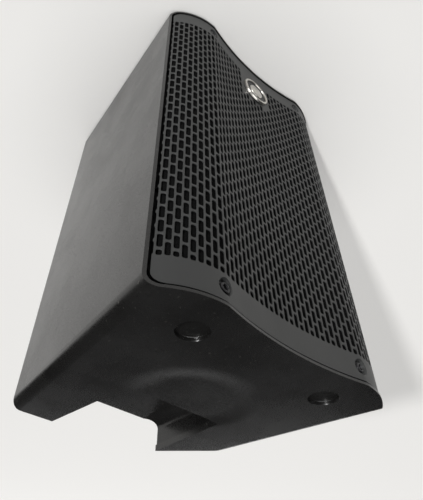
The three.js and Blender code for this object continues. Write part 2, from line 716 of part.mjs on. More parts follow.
function socketShell(withPins) {
  const flange = plateY(roundedRectangle(socket.halfWidth, -socket.halfHeight, socket.halfHeight, 3, 3),
    panelFace + gap, panelFace + 2.2);
  let shell = flange.add(rodY(socket.bodyRadius, panelBack - 22, panelFace + 1));
  shell = shell.subtract(rodY(socket.bore, panelBack - 17, panelFace + 9));
  if (withPins) {
    for (const angle of [30, 150, 270]) {
      const turn = THREE.MathUtils.degToRad(angle);
      const x = 4.4 * Math.cos(turn);
      const z = 4.4 * Math.sin(turn);
      shell = shell.add(rodY(1.2, panelBack - 18, panelFace - 2, x, z, 8));
    }
    return shell;
  }
  const plugHole = rodY(3.7, panelBack - 16, panelFace + 9, 0, 0, 16);
  const core = rodY(6.2, panelBack - 18, panelFace - 2).subtract(plugHole);
  const window = box(-latch.halfWidth - gap, latch.halfWidth + gap, panelFace - 4, panelFace + 9,
    latch.fromCentre - latch.halfHeight - gap - 0.5, latch.fromCentre + latch.halfHeight - 0.6);
  return shell.add(core).subtract(window);
}

function latchTab() {
  return box(-latch.halfWidth, latch.halfWidth, 0, 4.2, -latch.halfHeight - 0.2, latch.halfHeight - 1);
}

function inletShell() {
  const flange = plateY(roundedRectangle(inlet.halfWidth, -inlet.halfHeight, inlet.halfHeight, 6, 3),
    panelFace + gap, panelFace + 3);
  const body = box(-15.4, 15.4, panelBack - 20, panelFace + 1, -11.4, 11.4);
  const cavity = box(-inlet.cavityHalfWidth, inlet.cavityHalfWidth, panelFace + 3 - inlet.cavityDepth,
    panelFace + 9, -inlet.cavityHalfHeight, inlet.cavityHalfHeight);
  let shell = flange.add(body).subtract(cavity);
  for (const [x, z] of [[-7, 2], [0, -3], [7, 2]]) {
    shell = shell.add(box(x - 1, x + 1, panelFace - inlet.cavityDepth, panelFace - 1, z - 2, z + 2));
  }
  return shell;
}

function switchBody() {
  const flange = plateY(roundedRectangle(11.5, -15.5, 15.5, 2, 2), panelFace + gap, panelFace + 2);
  const body = box(-9, 9, panelBack - 16, panelFace + 1, -13, 13);
  const well = box(-rocker.halfWidth - gap, rocker.halfWidth + gap, panelFace - 9, panelFace + 9,
    -rocker.halfHeight - 1, rocker.halfHeight + 1);
  return flange.add(body).subtract(well);
}

function rockerCap() {
  const { halfWidth, halfHeight } = rocker;
  const outline = [
    [-halfHeight, -1], [-halfHeight, 3.4], [-halfHeight + 1, 4.6], [0, 2.6], [halfHeight - 1, 4.6],
    [halfHeight, 3.4], [halfHeight, -1], [3, -4.5], [-3, -4.5],
  ].map(([z, y]) => new THREE.Vector2(z, y));
  const settings = { depth: 2 * halfWidth, bevelEnabled: false };
  const geometry = new THREE.ExtrudeGeometry(new THREE.Shape(outline), settings);
  geometry.translate(0, 0, -halfWidth);
  geometry.rotateY(-Math.PI / 2);
  return solidOf(geometry);
}

// ---------------------------------------------------------------- assembly
const speaker = new THREE.Group();
speaker.position.y = -cabinet.depth / 2;

function addPart(name, solid, material, place = [0, 0, 0], parent = speaker) {
  const mesh = new THREE.Mesh(geometryOf(solid), material.clone());
  mesh.name = name;
  mesh.position.set(...place);
  parent.add(mesh);
  return mesh;
}

addPart('cabinet_shell', cabinetShell(), blackPlastic);
addPart('front_baffle', frontBaffle(), blackPlastic);
addPart('grille', grillePanel(), grillePaint);
addPart('grille_foam', foamSheet(), foamBlack);
const badgeDepth = frontDepth(badge.radius) + grille.recess - gap - badge.thickness;
addPart('badge', badgeDisc(), silver, [0, badgeDepth, bottom + badge.height]);

grilleScrewPlaces().forEach(([x, z], i) => {
  const { headRadius, headLength, shankRadius, length } = grilleScrew;
  const solid = screw(headRadius, headLength, shankRadius, length);
  addPart(`grille_screw_${i + 1}`, solid, darkSteel, [x, frontDepth(x) + grilleScrew.recess, z]);
});
baffleScrewPlaces().forEach(([x, z], i) => {
  addPart(`baffle_screw_${i + 1}`, screw(3.6, 2.4, 1.9, 12), darkSteel, [x, baffle.depth - 2.4 - gap, z]);
});

const wooferGroup = new THREE.Group();
wooferGroup.position.z = woofer.height;
speaker.add(wooferGroup);
addPart('woofer_frame', wooferFrame(), darkSteel, [0, 0, 0], wooferGroup);
addPart('woofer_surround', wooferSurround(), rubberBlack, [0, 0, 0], wooferGroup);
addPart('woofer_cone', wooferCone(), paperBlack, [0, 0, 0], wooferGroup);
addPart('dust_cap', dustCap(), paperBlack, [0, -3, 0], wooferGroup);
addPart('voice_coil', voiceCoil(), copper, [0, 0, 0], wooferGroup);
addPart('spider', spider(), amberCloth, [0, 0, 0], wooferGroup);
addPart('woofer_top_plate', turnedY([[20.8, 92], [50, 92], [50, 98], [20.8, 98], [20.8, 92]]), zincSteel,
  [0, 0, 0], wooferGroup);
addPart('woofer_magnet', turnedY([[30, 98.3], [60, 98.3], [60, 116], [30, 116], [30, 98.3]]), ferrite,
  [0, 0, 0], wooferGroup);
addPart('woofer_yoke', turnedY([[0, 92.5], [17.6, 92.5], [17.6, 116.3], [57, 116.3], [57, 122.3],
  [0, 122.3]]), zincSteel, [0, 0, 0], wooferGroup);
wooferScrewOffsets().forEach(([x, z], i) => {
  addPart(`woofer_screw_${i + 1}`, screw(3.4, 2.2, 1.9, 6.4), darkSteel, [x, 27.7 - 2.2 - gap, z],
    wooferGroup);
});

const hornGroup = new THREE.Group();
hornGroup.position.z = horn.height;
speaker.add(hornGroup);
addPart('horn', hornBell(), glossBlack, [0, 0, 0], hornGroup);
addPart('driver_plate', driverPlate(), castAluminium, [0, horn.throatDepth + gap, 0], hornGroup);
addPart('driver_magnet', driverMagnet(), ferrite, [0, horn.throatDepth + 8 + 2 * gap, 0], hornGroup);
addPart('driver_cover', driverCover(), blackPlastic, [0, horn.throatDepth + 24 + 3 * gap, 0], hornGroup);

for (const side of [-1, 1]) {
  const number = side < 0 ? 1 : 2;
  addPart(`port_tube_${number}`, portTube(), blackPlastic,
    [side * port.halfSpacing, baffle.depth - 3.6 - gap, port.height]);
}
addPart('pole_cup', poleCupSolid(), blackPlastic, [0, poleCup.centreDepth, 0]);
const footPlaces = [[-1, foot.frontDepth], [1, foot.frontDepth], [-1, foot.rearDepth], [1, foot.rearDepth]];
footPlaces.forEach(([side, depth], i) => {
  addPart(`foot_${i + 1}`, footPad(), rubberBlack, [side * foot.halfSpacing, depth, 0]);
});

const rearGroup = new THREE.Group();
rearGroup.position.x = rearCentre;
speaker.add(rearGroup);
addPart('amp_panel', amplifierPanel(), darkSteel, [0, 0, 0], rearGroup);
panelScrewPlaces().forEach(([x, z], i) => {
  const mesh = addPart(`panel_screw_${i + 1}`, screw(3, 1.8, 1.5, 9), darkSteel,
    [x, panelFace + gap + 1.8, z], rearGroup);
  mesh.rotation.z = Math.PI;
});
addPart('heatsink', heatsink(), castAluminium, [0, 0, 0], rearGroup);
addPart('amp_board', amplifierBoard(), boardGreen, [0, 0, 0], rearGroup);
addPart('transformer', transformer(), copper, [18, panelBack - 30 - gap - 9.2, bottom + 112], rearGroup);
addPart('input_board', inputBoard(), boardGreen, [0, 0, 0], rearGroup);
for (const side of [-1, 1]) {
  const number = side < 0 ? 1 : 2;
  const knobX = side * knob.halfSpacing;
  const socketX = side * socket.halfSpacing;
  addPart(`level_pot_${number}`, levelPot(), darkSteel, [knobX, 0, knob.height], rearGroup);
  addPart(`level_knob_${number}`, levelKnob(), rubberBlack, [knobX, panelFace + 0.8, knob.height],
    rearGroup);
  addPart(`input_socket_${number}`, socketShell(false), glossBlack, [socketX, 0, socket.height], rearGroup);
  addPart(`input_latch_${number}`, latchTab(), silver,
    [socketX, panelFace - 0.8, socket.height + latch.fromCentre - 0.4], rearGroup);
}
addPart('link_socket', socketShell(true), glossBlack, [link.x, 0, link.height], rearGroup);
addPart('mode_button', rodY(modeButton.radius, 0, 6, 0, 0, 20), rubberBlack,
  [modeButton.x, panelFace - 3, modeButton.height], rearGroup);
addPart('mains_inlet', inletShell(), glossBlack, [inlet.x, 0, inlet.height], rearGroup);
addPart('power_switch_body', switchBody(), glossBlack, [rocker.x, 0, rocker.height], rearGroup);
const rockerPlace = [rocker.x, panelFace - 1.6, rocker.height];
const rockerMesh = addPart('power_rocker', rockerCap(), glossBlack, rockerPlace, rearGroup);
rockerMesh.rotation.x = THREE.MathUtils.degToRad(rocker.tilt);

export default speaker;
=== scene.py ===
import math

import bmesh
import bpy
import numpy as np
from mathutils import Euler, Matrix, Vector
from mathutils.geometry import delaunay_2d_cdt


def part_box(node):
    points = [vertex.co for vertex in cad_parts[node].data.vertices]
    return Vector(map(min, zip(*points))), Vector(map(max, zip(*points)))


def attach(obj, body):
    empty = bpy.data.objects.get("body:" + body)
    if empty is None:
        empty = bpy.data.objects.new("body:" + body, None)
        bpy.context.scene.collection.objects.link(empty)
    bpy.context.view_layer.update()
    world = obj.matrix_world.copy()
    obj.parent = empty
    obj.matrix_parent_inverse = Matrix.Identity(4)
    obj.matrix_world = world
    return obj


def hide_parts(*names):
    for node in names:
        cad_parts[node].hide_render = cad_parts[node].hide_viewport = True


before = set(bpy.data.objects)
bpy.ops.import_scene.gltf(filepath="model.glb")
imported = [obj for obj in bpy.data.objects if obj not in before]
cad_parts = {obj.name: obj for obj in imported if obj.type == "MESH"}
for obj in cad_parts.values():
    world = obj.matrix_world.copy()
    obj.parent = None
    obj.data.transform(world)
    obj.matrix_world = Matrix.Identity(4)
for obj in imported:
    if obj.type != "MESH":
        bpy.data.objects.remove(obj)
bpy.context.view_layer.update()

MM = 0.001
MM_PER_METRE = 1000
HAIR = 0.01 * MM
TAU = 2 * math.pi

# ---------------------------------------------------------------- sizes
shell_low, shell_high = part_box("cabinet_shell")
FRONT = shell_low.y
BACK = shell_high.y
BOTTOM = shell_low.z
TOP = shell_high.z
HALF_FRONT = shell_high.x


def centre_of(node):
    low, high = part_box(node)
    return (low + high) / 2


CREST = centre_of("grille_screw_4").x
VALLEY_DEPTH = 9 * MM
SHOULDER_RADIUS = 78 * MM
WALL = 3.2 * MM
REAR_HALF = 110 * MM
BEVEL_SIDE_DEPTH = 187 * MM
BEVEL_BACK_X = -51 * MM
END_RADIUS = 12 * MM
REAR_RADIUS = 10 * MM
FLOOR_SIZE = 14


# ---------------------------------------------------------------- camera, floor and light
def make_camera():
    data = bpy.data.cameras.new("camera")
    data.sensor_width = 36
    data.lens = 33.5
    data.shift_x = 0.093
    data.shift_y = -0.018
    camera = bpy.data.objects.new("camera", data)
    camera.location = (0.2690, FRONT - 0.1735, 0.6156)
    camera.rotation_euler = Euler((math.radians(a) for a in (-47.38, 2.92, -140.01)), "XYZ")
    bpy.context.collection.objects.link(camera)
    bpy.context.scene.camera = camera


def make_floor():
    bpy.ops.mesh.primitive_plane_add(size=FLOOR_SIZE, location=(0, 0, 0))
    floor = bpy.context.object
    floor.name = "floor"
    cloth = new_material("floor_cloth", (0.80, 0.79, 0.77), 0.9, 0.0)
    floor.data.materials.append(cloth)


def add_light(name, kind, place, aim, power):
    data = bpy.data.lights.new(name, kind)
    data.energy = power
    light = bpy.data.objects.new(name, data)
    light.location = place
    light.rotation_euler = (Vector(aim) - Vector(place)).to_track_quat("-Z", "Y").to_euler()
    light.visible_camera = False
    bpy.context.collection.objects.link(light)
    return data


def make_lights():
    """A wide light overhead, a narrow one from +X, a low strip behind the cabinet, and a dim room."""
    world = bpy.data.worlds.new("studio")
    world.use_nodes = True
    background = world.node_tree.nodes["Background"]
    background.inputs["Color"].default_value = (1.0, 1.0, 1.0, 1)
    background.inputs["Strength"].default_value = 0.02
    bpy.context.scene.world = world
    bpy.context.scene.view_settings.view_transform = "Standard"
    base = (0, 0, 0)
    overhead = add_light("overhead", "SUN", place=(0.1, -0.1, 1.0), aim=base, power=2.2)
    overhead.angle = math.radians(50)
    side = add_light("side", "SUN", place=(0.872, -0.292, 0.39), aim=base, power=2.35)
    side.angle = math.radians(3.5)
    low = add_light("low", "AREA", place=(-2.5, 3.5, 0.85), aim=(0, 0.1, 0.44), power=22)
    low.shape = "RECTANGLE"
    low.size = 4.6
    low.size_y = 0.8


# ---------------------------------------------------------------- materials
def new_material(name, colour, roughness, metallic):
    material = bpy.data.materials.new(name)
    material.use_nodes = True
    shader = material.node_tree.nodes["Principled BSDF"]
    shader.inputs["Base Color"].default_value = (*colour, 1)
    shader.inputs["Roughness"].default_value = roughness
    shader.inputs["Metallic"].default_value = metallic
    return material


# A Mix node's colour sockets share their names with its other types, so they go by number.
MIX_FACTOR, MIX_FIRST, MIX_SECOND, MIX_RESULT = 0, 6, 7, 2


class Graph:
    """Short calls for building a material's nodes."""

    def __init__(self, material):
        self.tree = material.node_tree
        self.shader = self.tree.nodes["Principled BSDF"]
        self.place = self.add("ShaderNodeTexCoord").outputs["Object"]

    def add(self, kind, **settings):
        node = self.tree.nodes.new(kind)
        for key, value in settings.items():
            setattr(node, key, value)
        return node

    def link(self, source, target):
        self.tree.links.new(source, target)

    def feed(self, socket, source):
        self.link(source, self.shader.inputs[socket])

    def noise(self, scale, detail=3.0, roughness=0.55, stretch=(1, 1, 1)):
        node = self.add("ShaderNodeTexNoise")
        node.inputs["Scale"].default_value = scale
        node.inputs["Detail"].default_value = detail
        node.inputs["Roughness"].default_value = roughness
        mapping = self.add("ShaderNodeMapping")
        mapping.inputs["Scale"].default_value = stretch
        self.link(self.place, mapping.inputs["Vector"])
        self.link(mapping.outputs["Vector"], node.inputs["Vector"])
        return node.outputs["Fac"]

    def cells(self, scale):
        node = self.add("ShaderNodeTexVoronoi")
        node.inputs["Scale"].default_value = scale
        self.link(self.place, node.inputs["Vector"])
        return node.outputs["Distance"]

    def ramp(self, source, low, high, start, end):
        node = self.add("ShaderNodeMapRange")
        node.inputs["From Min"].default_value = low
        node.inputs["From Max"].default_value = high
        node.inputs["To Min"].default_value = start
        node.inputs["To Max"].default_value = end
        self.link(source, node.inputs["Value"])
        return node.outputs["Result"]

    def mix_colour(self, factor, first, second):
        node = self.add("ShaderNodeMix", data_type="RGBA")
        for value, socket in ((first, node.inputs[MIX_FIRST]), (second, node.inputs[MIX_SECOND])):
            if isinstance(value, tuple):
                socket.default_value = (*value, 1)
            else:
                self.link(value, socket)
        self.link(factor, node.inputs[MIX_FACTOR])
        return node.outputs[MIX_RESULT]

    def blend(self, source, low, high, first, second):
        """Goes from the first colour to the second as the source goes from low to high."""
        return self.mix_colour(self.ramp(source, low, high, 0, 1), first, second)

    def maths(self, operation, first, second):
        node = self.add("ShaderNodeMath", operation=operation)
        for value, socket in ((first, node.inputs[0]), (second, node.inputs[1])):
            if isinstance(value, (int, float)):
                socket.default_value = value
            else:
                self.link(value, socket)
        return node.outputs[0]

    def bump(self, height, strength, distance):
        node = self.add("ShaderNodeBump")
        node.inputs["Strength"].default_value = strength
        node.inputs["Distance"].default_value = distance
        self.link(height, node.inputs["Height"])
        return node.outputs["Normal"]


DUST_COLOUR = (0.25, 0.24, 0.22)


def moulded_plastic(name, colour, roughness, grain, depth):
    """Fine pebbled plastic with a few dust specks; the depth of the grain is in millimetres."""
    material = new_material(name, colour, roughness, 0)
    g = Graph(material)
    pebble = g.cells(grain)
    fine = g.noise(grain * 0.7, 2)
    patch = g.noise(14, 4, 0.6)
    dust = g.ramp(g.noise(400, 2, 0.7), 0.67, 0.76, 0.0, 0.30)
    light = tuple(min(1, c * 1.35 + 0.001) for c in colour)
    base = g.blend(patch, 0.3, 0.7, colour, light)
    g.feed("Base Color", g.mix_colour(dust, base, DUST_COLOUR))
    uneven = g.maths("ADD", g.ramp(patch, 0.3, 0.7, -0.05, 0.05),
                     g.ramp(fine, 0.3, 0.7, -0.05, 0.05))
    g.feed("Roughness", g.maths("ADD", uneven, roughness))
    height = g.maths("ADD", g.maths("MULTIPLY", pebble, 0.7), g.maths("MULTIPLY", fine, 0.5))
    g.feed("Normal", g.bump(height, 0.5, depth * MM))
    return material


def powder_coat(name, colour, roughness, metallic=0.0):
    material = new_material(name, colour, roughness, metallic)
    g = Graph(material)
    orange_peel = g.noise(900, 2)
    patch = g.noise(18, 3)
    light = tuple(min(1, c * 1.18) for c in colour)
    g.feed("Base Color", g.blend(patch, 0.35, 0.65, colour, light))
    g.feed("Roughness", g.ramp(patch, 0.3, 0.7, roughness - 0.05, roughness + 0.06))
    g.feed("Normal", g.bump(orange_peel, 0.25, 0.05 * MM))
    return material


def plated_metal(name, colour, roughness, brushed=(1, 1, 1)):
    material = new_material(name, colour, roughness, 1)
    g = Graph(material)
    scratch = g.noise(700, 3, 0.6, stretch=brushed)
    tarnish = g.noise(60, 3)
    dark = tuple(c * 0.78 for c in colour)
    g.feed("Base Color", g.blend(tarnish, 0.35, 0.7, colour, dark))
    g.feed("Roughness", g.ramp(scratch, 0.3, 0.7, roughness - 0.08, roughness + 0.12))
    g.feed("Normal", g.bump(scratch, 0.12, 0.02 * MM))
    return material


def soft_rubber(name, colour):
    material = new_material(name, colour, 0.75, 0)
    g = Graph(material)
    grain = g.noise(1300, 3)
    bloom = g.noise(90, 4, 0.65)
    light = tuple(c + 0.02 for c in colour)
    g.feed("Base Color", g.blend(bloom, 0.4, 0.75, colour, light))
    g.feed("Roughness", g.ramp(bloom, 0.3, 0.7, 0.66, 0.86))
    g.feed("Normal", g.bump(grain, 0.3, 0.04 * MM))
    return material


def open_foam(name, colour):
    material = new_material(name, colour, 1.0, 0)
    g = Graph(material)
    g.shader.inputs["Specular IOR Level"].default_value = 0.1
    holes = g.cells(1100)
    light = tuple(c * 2.4 + 0.001 for c in colour)
    g.feed("Base Color", g.blend(holes, 0.1, 0.6, colour, light))
    g.feed("Roughness", g.ramp(holes, 0.0, 0.7, 0.9, 1.0))
    g.feed("Normal", g.bump(holes, 1.0, 0.5 * MM))
    return material


def fibre(name, colour, scale=600):
    material = new_material(name, colour, 0.85, 0)
    g = Graph(material)
    strand = g.noise(scale, 4, 0.7, stretch=(1, 1, 0.25))
    light = tuple(min(1, c * 1.5 + 0.005) for c in colour)
    g.feed("Base Color", g.blend(strand, 0.35, 0.65, colour, light))
    g.feed("Roughness", g.ramp(strand, 0.3, 0.7, 0.75, 0.95))
    g.feed("Normal", g.bump(strand, 0.5, 0.1 * MM))
    return material


MATERIALS = {
    "cabinet": moulded_plastic("cabinet_plastic", (0.0062, 0.006, 0.0058), 0.27, 1500, 0.035),
    "baffle": moulded_plastic("baffle_plastic", (0.016, 0.016, 0.016), 0.55, 1700, 0.06),
    "grille": powder_coat("grille_paint", (0.024, 0.025, 0.025), 0.48),
    "foam": open_foam("foam", (0.0015, 0.0015, 0.0016)),
    "badge": plated_metal("badge_metal", (0.62, 0.60, 0.56), 0.30),
    "screws": powder_coat("screw_black", (0.022, 0.022, 0.024), 0.35, 0.4),
    "rubber": soft_rubber("rubber", (0.014, 0.014, 0.014)),
    "basket": powder_coat("basket_paint", (0.02, 0.02, 0.021), 0.5),
    "cone": fibre("cone_paper", (0.015, 0.015, 0.016)),
    "coil": plated_metal("coil_wire", (0.62, 0.30, 0.14), 0.35, (1, 9, 1)),
    "spider": fibre("spider_cloth", (0.36, 0.23, 0.08), 900),
    "steel": plated_metal("zinc_steel", (0.52, 0.53, 0.54), 0.38),
    "magnet": powder_coat("ferrite", (0.055, 0.055, 0.058), 0.65),
    "horn": moulded_plastic("horn_plastic", (0.014, 0.014, 0.015), 0.38, 1900, 0.02),
    "alloy": plated_metal("alloy", (0.55, 0.56, 0.57), 0.42, (1, 1, 8)),
    "panel": powder_coat("panel_paint", (0.02, 0.02, 0.021), 0.55),
    "board": powder_coat("solder_resist", (0.02, 0.10, 0.05), 0.35),
    "controls": moulded_plastic("control_plastic", (0.014, 0.014, 0.015), 0.36, 2200, 0.015),
    "knobs": soft_rubber("knob_rubber", (0.018, 0.018, 0.019)),
    "latches": plated_metal("latch_plate", (0.6, 0.6, 0.6), 0.28),
    "print": powder_coat("screen_print", (0.50, 0.50, 0.48), 0.6),
    "lens": moulded_plastic("lamp_lens", (0.03, 0.16, 0.05), 0.18, 900, 0.01),
}


# ---------------------------------------------------------------- mesh helpers
def finish_piece(obj, slot, body="cabinet", stands_for=(), paint=None):
    obj.data.materials.clear()
    obj.data.materials.append(MATERIALS[paint or slot])
    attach(obj, body)
    if stands_for:
        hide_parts(*stands_for)


def smooth(obj, angle):
    obj.data.shade_smooth()
    obj.data.set_sharp_from_angle(angle=math.radians(angle))


def even_shading(obj):
    """Keeps large flat faces flat where they meet small rounded edges."""
    modifier = obj.modifiers.new("normals", "WEIGHTED_NORMAL")
    modifier.keep_sharp = True
    bake(obj)


def rounded_rectangle(half, low, high, radius, steps):
    centres = [(half - radius, high - radius), (radius - half, high - radius),
               (radius - half, low + radius), (half - radius, low + radius)]
    points = []
    for quarter, (x, z) in enumerate(centres):
        for step in range(steps + 1):
            angle = (quarter + step / steps) * math.pi / 2
            points.append((x + radius * math.cos(angle), z + radius * math.sin(angle)))
    return points


def loft(sections):
    """A closed skin over outlines that stand across Y: [(depth, [(x, z), ...]), ...]."""
    count = len(sections[0][1])
    vertices = [(x, y, z) for y, outline in sections for x, z in outline]
    faces = [tuple(range(count))[::-1]]
    for row in range(len(sections) - 1):
        for i in range(count):
            a = row * count + i
            b = row * count + (i + 1) % count
            faces.append((a, a + count, b + count, b)[::-1])
    faces.append(tuple(range(len(vertices) - count, len(vertices))))
    return vertices, faces


def prism_z(points, low, high):
    count = len(points)
    vertices = [(x, y, z) for z in (low, high) for x, y in points]
    faces = [tuple(range(count))[::-1], tuple(range(count, 2 * count))]
    for i in range(count):
        j = (i + 1) % count
        faces.append((i, j, j + count, i + count))
    return vertices, faces


def box_mesh(low, high):
    points = [(low[0], low[1]), (high[0], low[1]), (high[0], high[1]), (low[0], high[1])]
    return prism_z(points, low[2], high[2])


def turned(profile, segments, centre, axis="Y"):
    """A turned skin from [(radius, height), ...] in millimetres; radius 0 closes it on the axis."""
    vertices = []
    rings = []
    for radius, height in profile:
        ring = []
        for i in range(1 if radius == 0 else segments):
            angle = TAU * i / segments
            a = radius * MM * math.cos(angle)
            b = radius * MM * math.sin(angle)
            h = height * MM
            spot = (a, h, b) if axis == "Y" else (a, -b, h)
            ring.append(len(vertices))
            vertices.append(tuple(s + c for s, c in zip(spot, centre)))
        rings.append(ring)
    faces = []
    for lower, upper in zip(rings, rings[1:]):
        for i in range(segments):
            j = (i + 1) % segments
            below = [lower[i % len(lower)], lower[j % len(lower)]]
            above = [upper[j % len(upper)], upper[i % len(upper)]]
            face = list(dict.fromkeys(below + above))
            if len(face) > 2:
                faces.append(face)
    return vertices, faces


def raw_object(name, shape):
    vertices, faces = shape
    mesh = bpy.data.meshes.new(name)
    mesh.from_pydata(vertices, [], faces)
    bm = bmesh.new()
    bm.from_mesh(mesh)
    bmesh.ops.recalc_face_normals(bm, faces=bm.faces)
    bm.to_mesh(mesh)
    bm.free()
    obj = bpy.data.objects.new(name, mesh)
    bpy.context.collection.objects.link(obj)
    return obj


def cut_by(target, tool, operation):
    """Joins, cuts or intersects target with another closed object, and uses that object up."""
    modifier = target.modifiers.new("cut", "BOOLEAN")
    modifier.operation = operation
    modifier.solver = "EXACT"
    modifier.object = tool
    bake(target)
    bpy.data.objects.remove(tool)
    return target


def combine(target, operation, *shapes):
    """The same with closed shapes, one after the other."""
    for shape in shapes:
        cut_by(target, raw_object("tool", shape), operation)
    return target


def bake(obj):
    graph = bpy.context.evaluated_depsgraph_get()
    mesh = bpy.data.meshes.new_from_object(obj.evaluated_get(graph))
    obj.modifiers.clear()
    obj.data = mesh


def soften_edges(obj, width, angle, segments, where=None):
    """Rounds the edges sharper than the angle, or only those with both ends where the test says."""
    bm = bmesh.new()
    bm.from_mesh(obj.data)
    bmesh.ops.remove_doubles(bm, verts=bm.verts, dist=HAIR)
    limit = math.radians(angle)
    sharp = [e for e in bm.edges if len(e.link_faces) == 2 and e.calc_face_angle(0) > limit
             and (where is None or all(where(v.co) for v in e.verts))]
    bmesh.ops.bevel(bm, geom=sharp, offset=width, segments=segments, profile=0.5, affect="EDGES",
                    clamp_overlap=True, miter_outer="ARC", harden_normals=False)
    bm.to_mesh(obj.data)
    bm.free()


# ---------------------------------------------------------------- cabinet outline
VALLEY_RADIUS = (CREST ** 2 + VALLEY_DEPTH ** 2) / (2 * VALLEY_DEPTH)
CORNER_STEPS = 8
END_STEPS = 12


def front_depth(x):
    """Depth of the front face behind its crests: a hollow between them, then round shoulders."""
    reach = abs(x)
    if reach <= CREST:
        return VALLEY_DEPTH - VALLEY_RADIUS + math.sqrt(VALLEY_RADIUS ** 2 - reach ** 2)
    return SHOULDER_RADIUS - math.sqrt(SHOULDER_RADIUS ** 2 - (reach - CREST) ** 2)


SHOULDER_DEPTH = front_depth(HALF_FRONT)
SIDE_TAPER = (HALF_FRONT - REAR_HALF) / (BACK - FRONT - SHOULDER_DEPTH)


def half_width(depth, inset=0.0):
    return HALF_FRONT - SIDE_TAPER * (depth - SHOULDER_DEPTH) - inset * math.hypot(1, SIDE_TAPER)


def rounded_corner(before, corner, after, reach):
    into = corner + (before - corner).normalized() * reach
    out = corner + (after - corner).normalized() * reach
    stops = [i / CORNER_STEPS for i in range(CORNER_STEPS + 1)]
    return [into * (1 - t) ** 2 + corner * 2 * t * (1 - t) + out * t ** 2 for t in stops]


def plan_line(start_depth, inset=0.0):
    """The cabinet from above, open at the front: +X side, back, bevel, then -X side."""
    depth = BACK - FRONT
    start = Vector((half_width(start_depth), start_depth))
    square = Vector((REAR_HALF, depth))
    bevel_back = Vector((BEVEL_BACK_X, depth))
    bevel_side = Vector((-half_width(BEVEL_SIDE_DEPTH), BEVEL_SIDE_DEPTH))
    end = Vector((-start.x, start_depth))
    line = [start, *rounded_corner(start, square, bevel_back, REAR_RADIUS), bevel_back,
            *rounded_corner(bevel_back, bevel_side, end, REAR_RADIUS / 2), end]
    return offset_line(line, inset) if inset else line


def offset_line(line, inset):
    """Moves an open outline to its left, keeping its corners mitred."""
    moved = []
    for i, point in enumerate(line):
        before = (point - line[i - 1]).normalized() if i else None
        after = (line[i + 1] - point).normalized() if i + 1 < len(line) else None
        first = before or after
        second = after or before
        normal = Vector((-(first.y + second.y), first.x + second.x)).normalized()
        stretch = normal.dot(Vector((-first.y, first.x)))
        moved.append(point + normal * inset / stretch)
    return moved


# ---------------------------------------------------------------- cabinet shell
PAST = 12 * MM
SEAT_DEPTH = BACK - FRONT - 14 * MM
RECESS_CENTRE = 24 * MM
RECESS_HALF = 59 * MM
RECESS_LOW = BOTTOM + 62 * MM
RECESS_HIGH = BOTTOM + 326 * MM
RECESS_RIM = 3 * MM
RECESS_LEDGE = 8 * MM
RECESS_CORNER = 3 * MM
POCKET_HALF = 62.5 * MM
POCKET_FLOOR = TOP - 36.5 * MM
POCKET_CEILING = TOP - 6.5 * MM
POCKET_FRONT = FRONT + 125 * MM
POCKET_RADIUS = 13 * MM
NOTCH_FRONT = FRONT + 147 * MM
NOTCH_HALF = 55 * MM
NOTCH_OVERLAP = 8 * MM
CASING_GAP = 0.3 * MM
POLE_DEPTH = 150 * MM
SCOOP_DEPTH = 127 * MM
LIP = 2.4 * MM
LIP_REACH = 30 * MM
LIP_ROUND = 1.0 * MM
EDGE_ROUND = 0.4 * MM
DIMPLE_HALF_SPACING = 76 * MM
DIMPLE_DEPTH = 40 * MM
# Radii and heights of turned cutters are in millimetres.
POLE_HOLE = 24
SCOOP_RADIUS = 66
SCOOP_FLAT = 38
SCOOP_SINK = 1.4
CLEAR = 12


def front_line(reach):
    steps = 40
    stops = np.unique(np.concatenate([np.linspace(-CREST, CREST, steps),
                                      np.linspace(CREST, reach, steps // 2),
                                      np.linspace(-reach, -CREST, steps // 2)]))
    return [(x, FRONT + front_depth(x)) for x in stops]


def behind_front():
    reach = HALF_FRONT + PAST
    outline = front_line(reach) + [(reach, BACK + PAST), (-reach, BACK + PAST)]
    return prism_z(outline, BOTTOM - PAST, TOP + PAST)


def across(outline, front, back):
    return loft([(front, outline), (back, outline)])


def hull(name, start_depth, inset=0.0):
    """The space between the two sides, the two ends and the back."""
    plan = [(p.x, FRONT + p.y) for p in plan_line(start_depth, inset)]
    body = raw_object(name, prism_z(plan, BOTTOM - PAST, TOP + PAST))
    sections = [(FRONT + depth, rounded_rectangle(half_width(depth, inset), BOTTOM + inset,
                                                  TOP - inset, END_RADIUS - inset, END_STEPS))
                for depth in (start_depth - PAST, BACK - FRONT + PAST)]
    return combine(body, "INTERSECT", loft(sections))


def add_rear_recess(shell):
    left = RECESS_CENTRE - RECESS_HALF
    right = RECESS_CENTRE + RECESS_HALF
    seat = FRONT + SEAT_DEPTH
    combine(shell, "UNION", box_mesh((left - RECESS_RIM, seat - RECESS_RIM, RECESS_LOW - RECESS_RIM),
                                     (right + RECESS_RIM, BACK - WALL / 2, RECESS_HIGH + RECESS_RIM)))
    well = rounded_rectangle(RECESS_HALF, RECESS_LOW, RECESS_HIGH, RECESS_CORNER, 4)
    combine(shell, "DIFFERENCE", across([(x + RECESS_CENTRE, z) for x, z in well], seat, BACK + PAST),
            box_mesh((left + RECESS_LEDGE, seat - PAST, RECESS_LOW + RECESS_LEDGE),
                     (right - RECESS_LEDGE, BACK, RECESS_HIGH - RECESS_LEDGE)))


def pocket_outline(grow, ceiling):
    """The hand space from behind: rounded at the floor, cut off flat at the ceiling."""
    half = POCKET_HALF + grow
    radius = POCKET_RADIUS + grow
    floor = POCKET_FLOOR - grow
    steps = 10
    points = [(half, ceiling), (-half, ceiling)]
    for side, start in ((-1, math.pi), (1, 1.5 * math.pi)):
        for step in range(steps + 1):
            angle = start + step / steps * math.pi / 2
            points.append((side * (half - radius) + radius * math.cos(angle),
                           floor + radius + radius * math.sin(angle)))
    return points


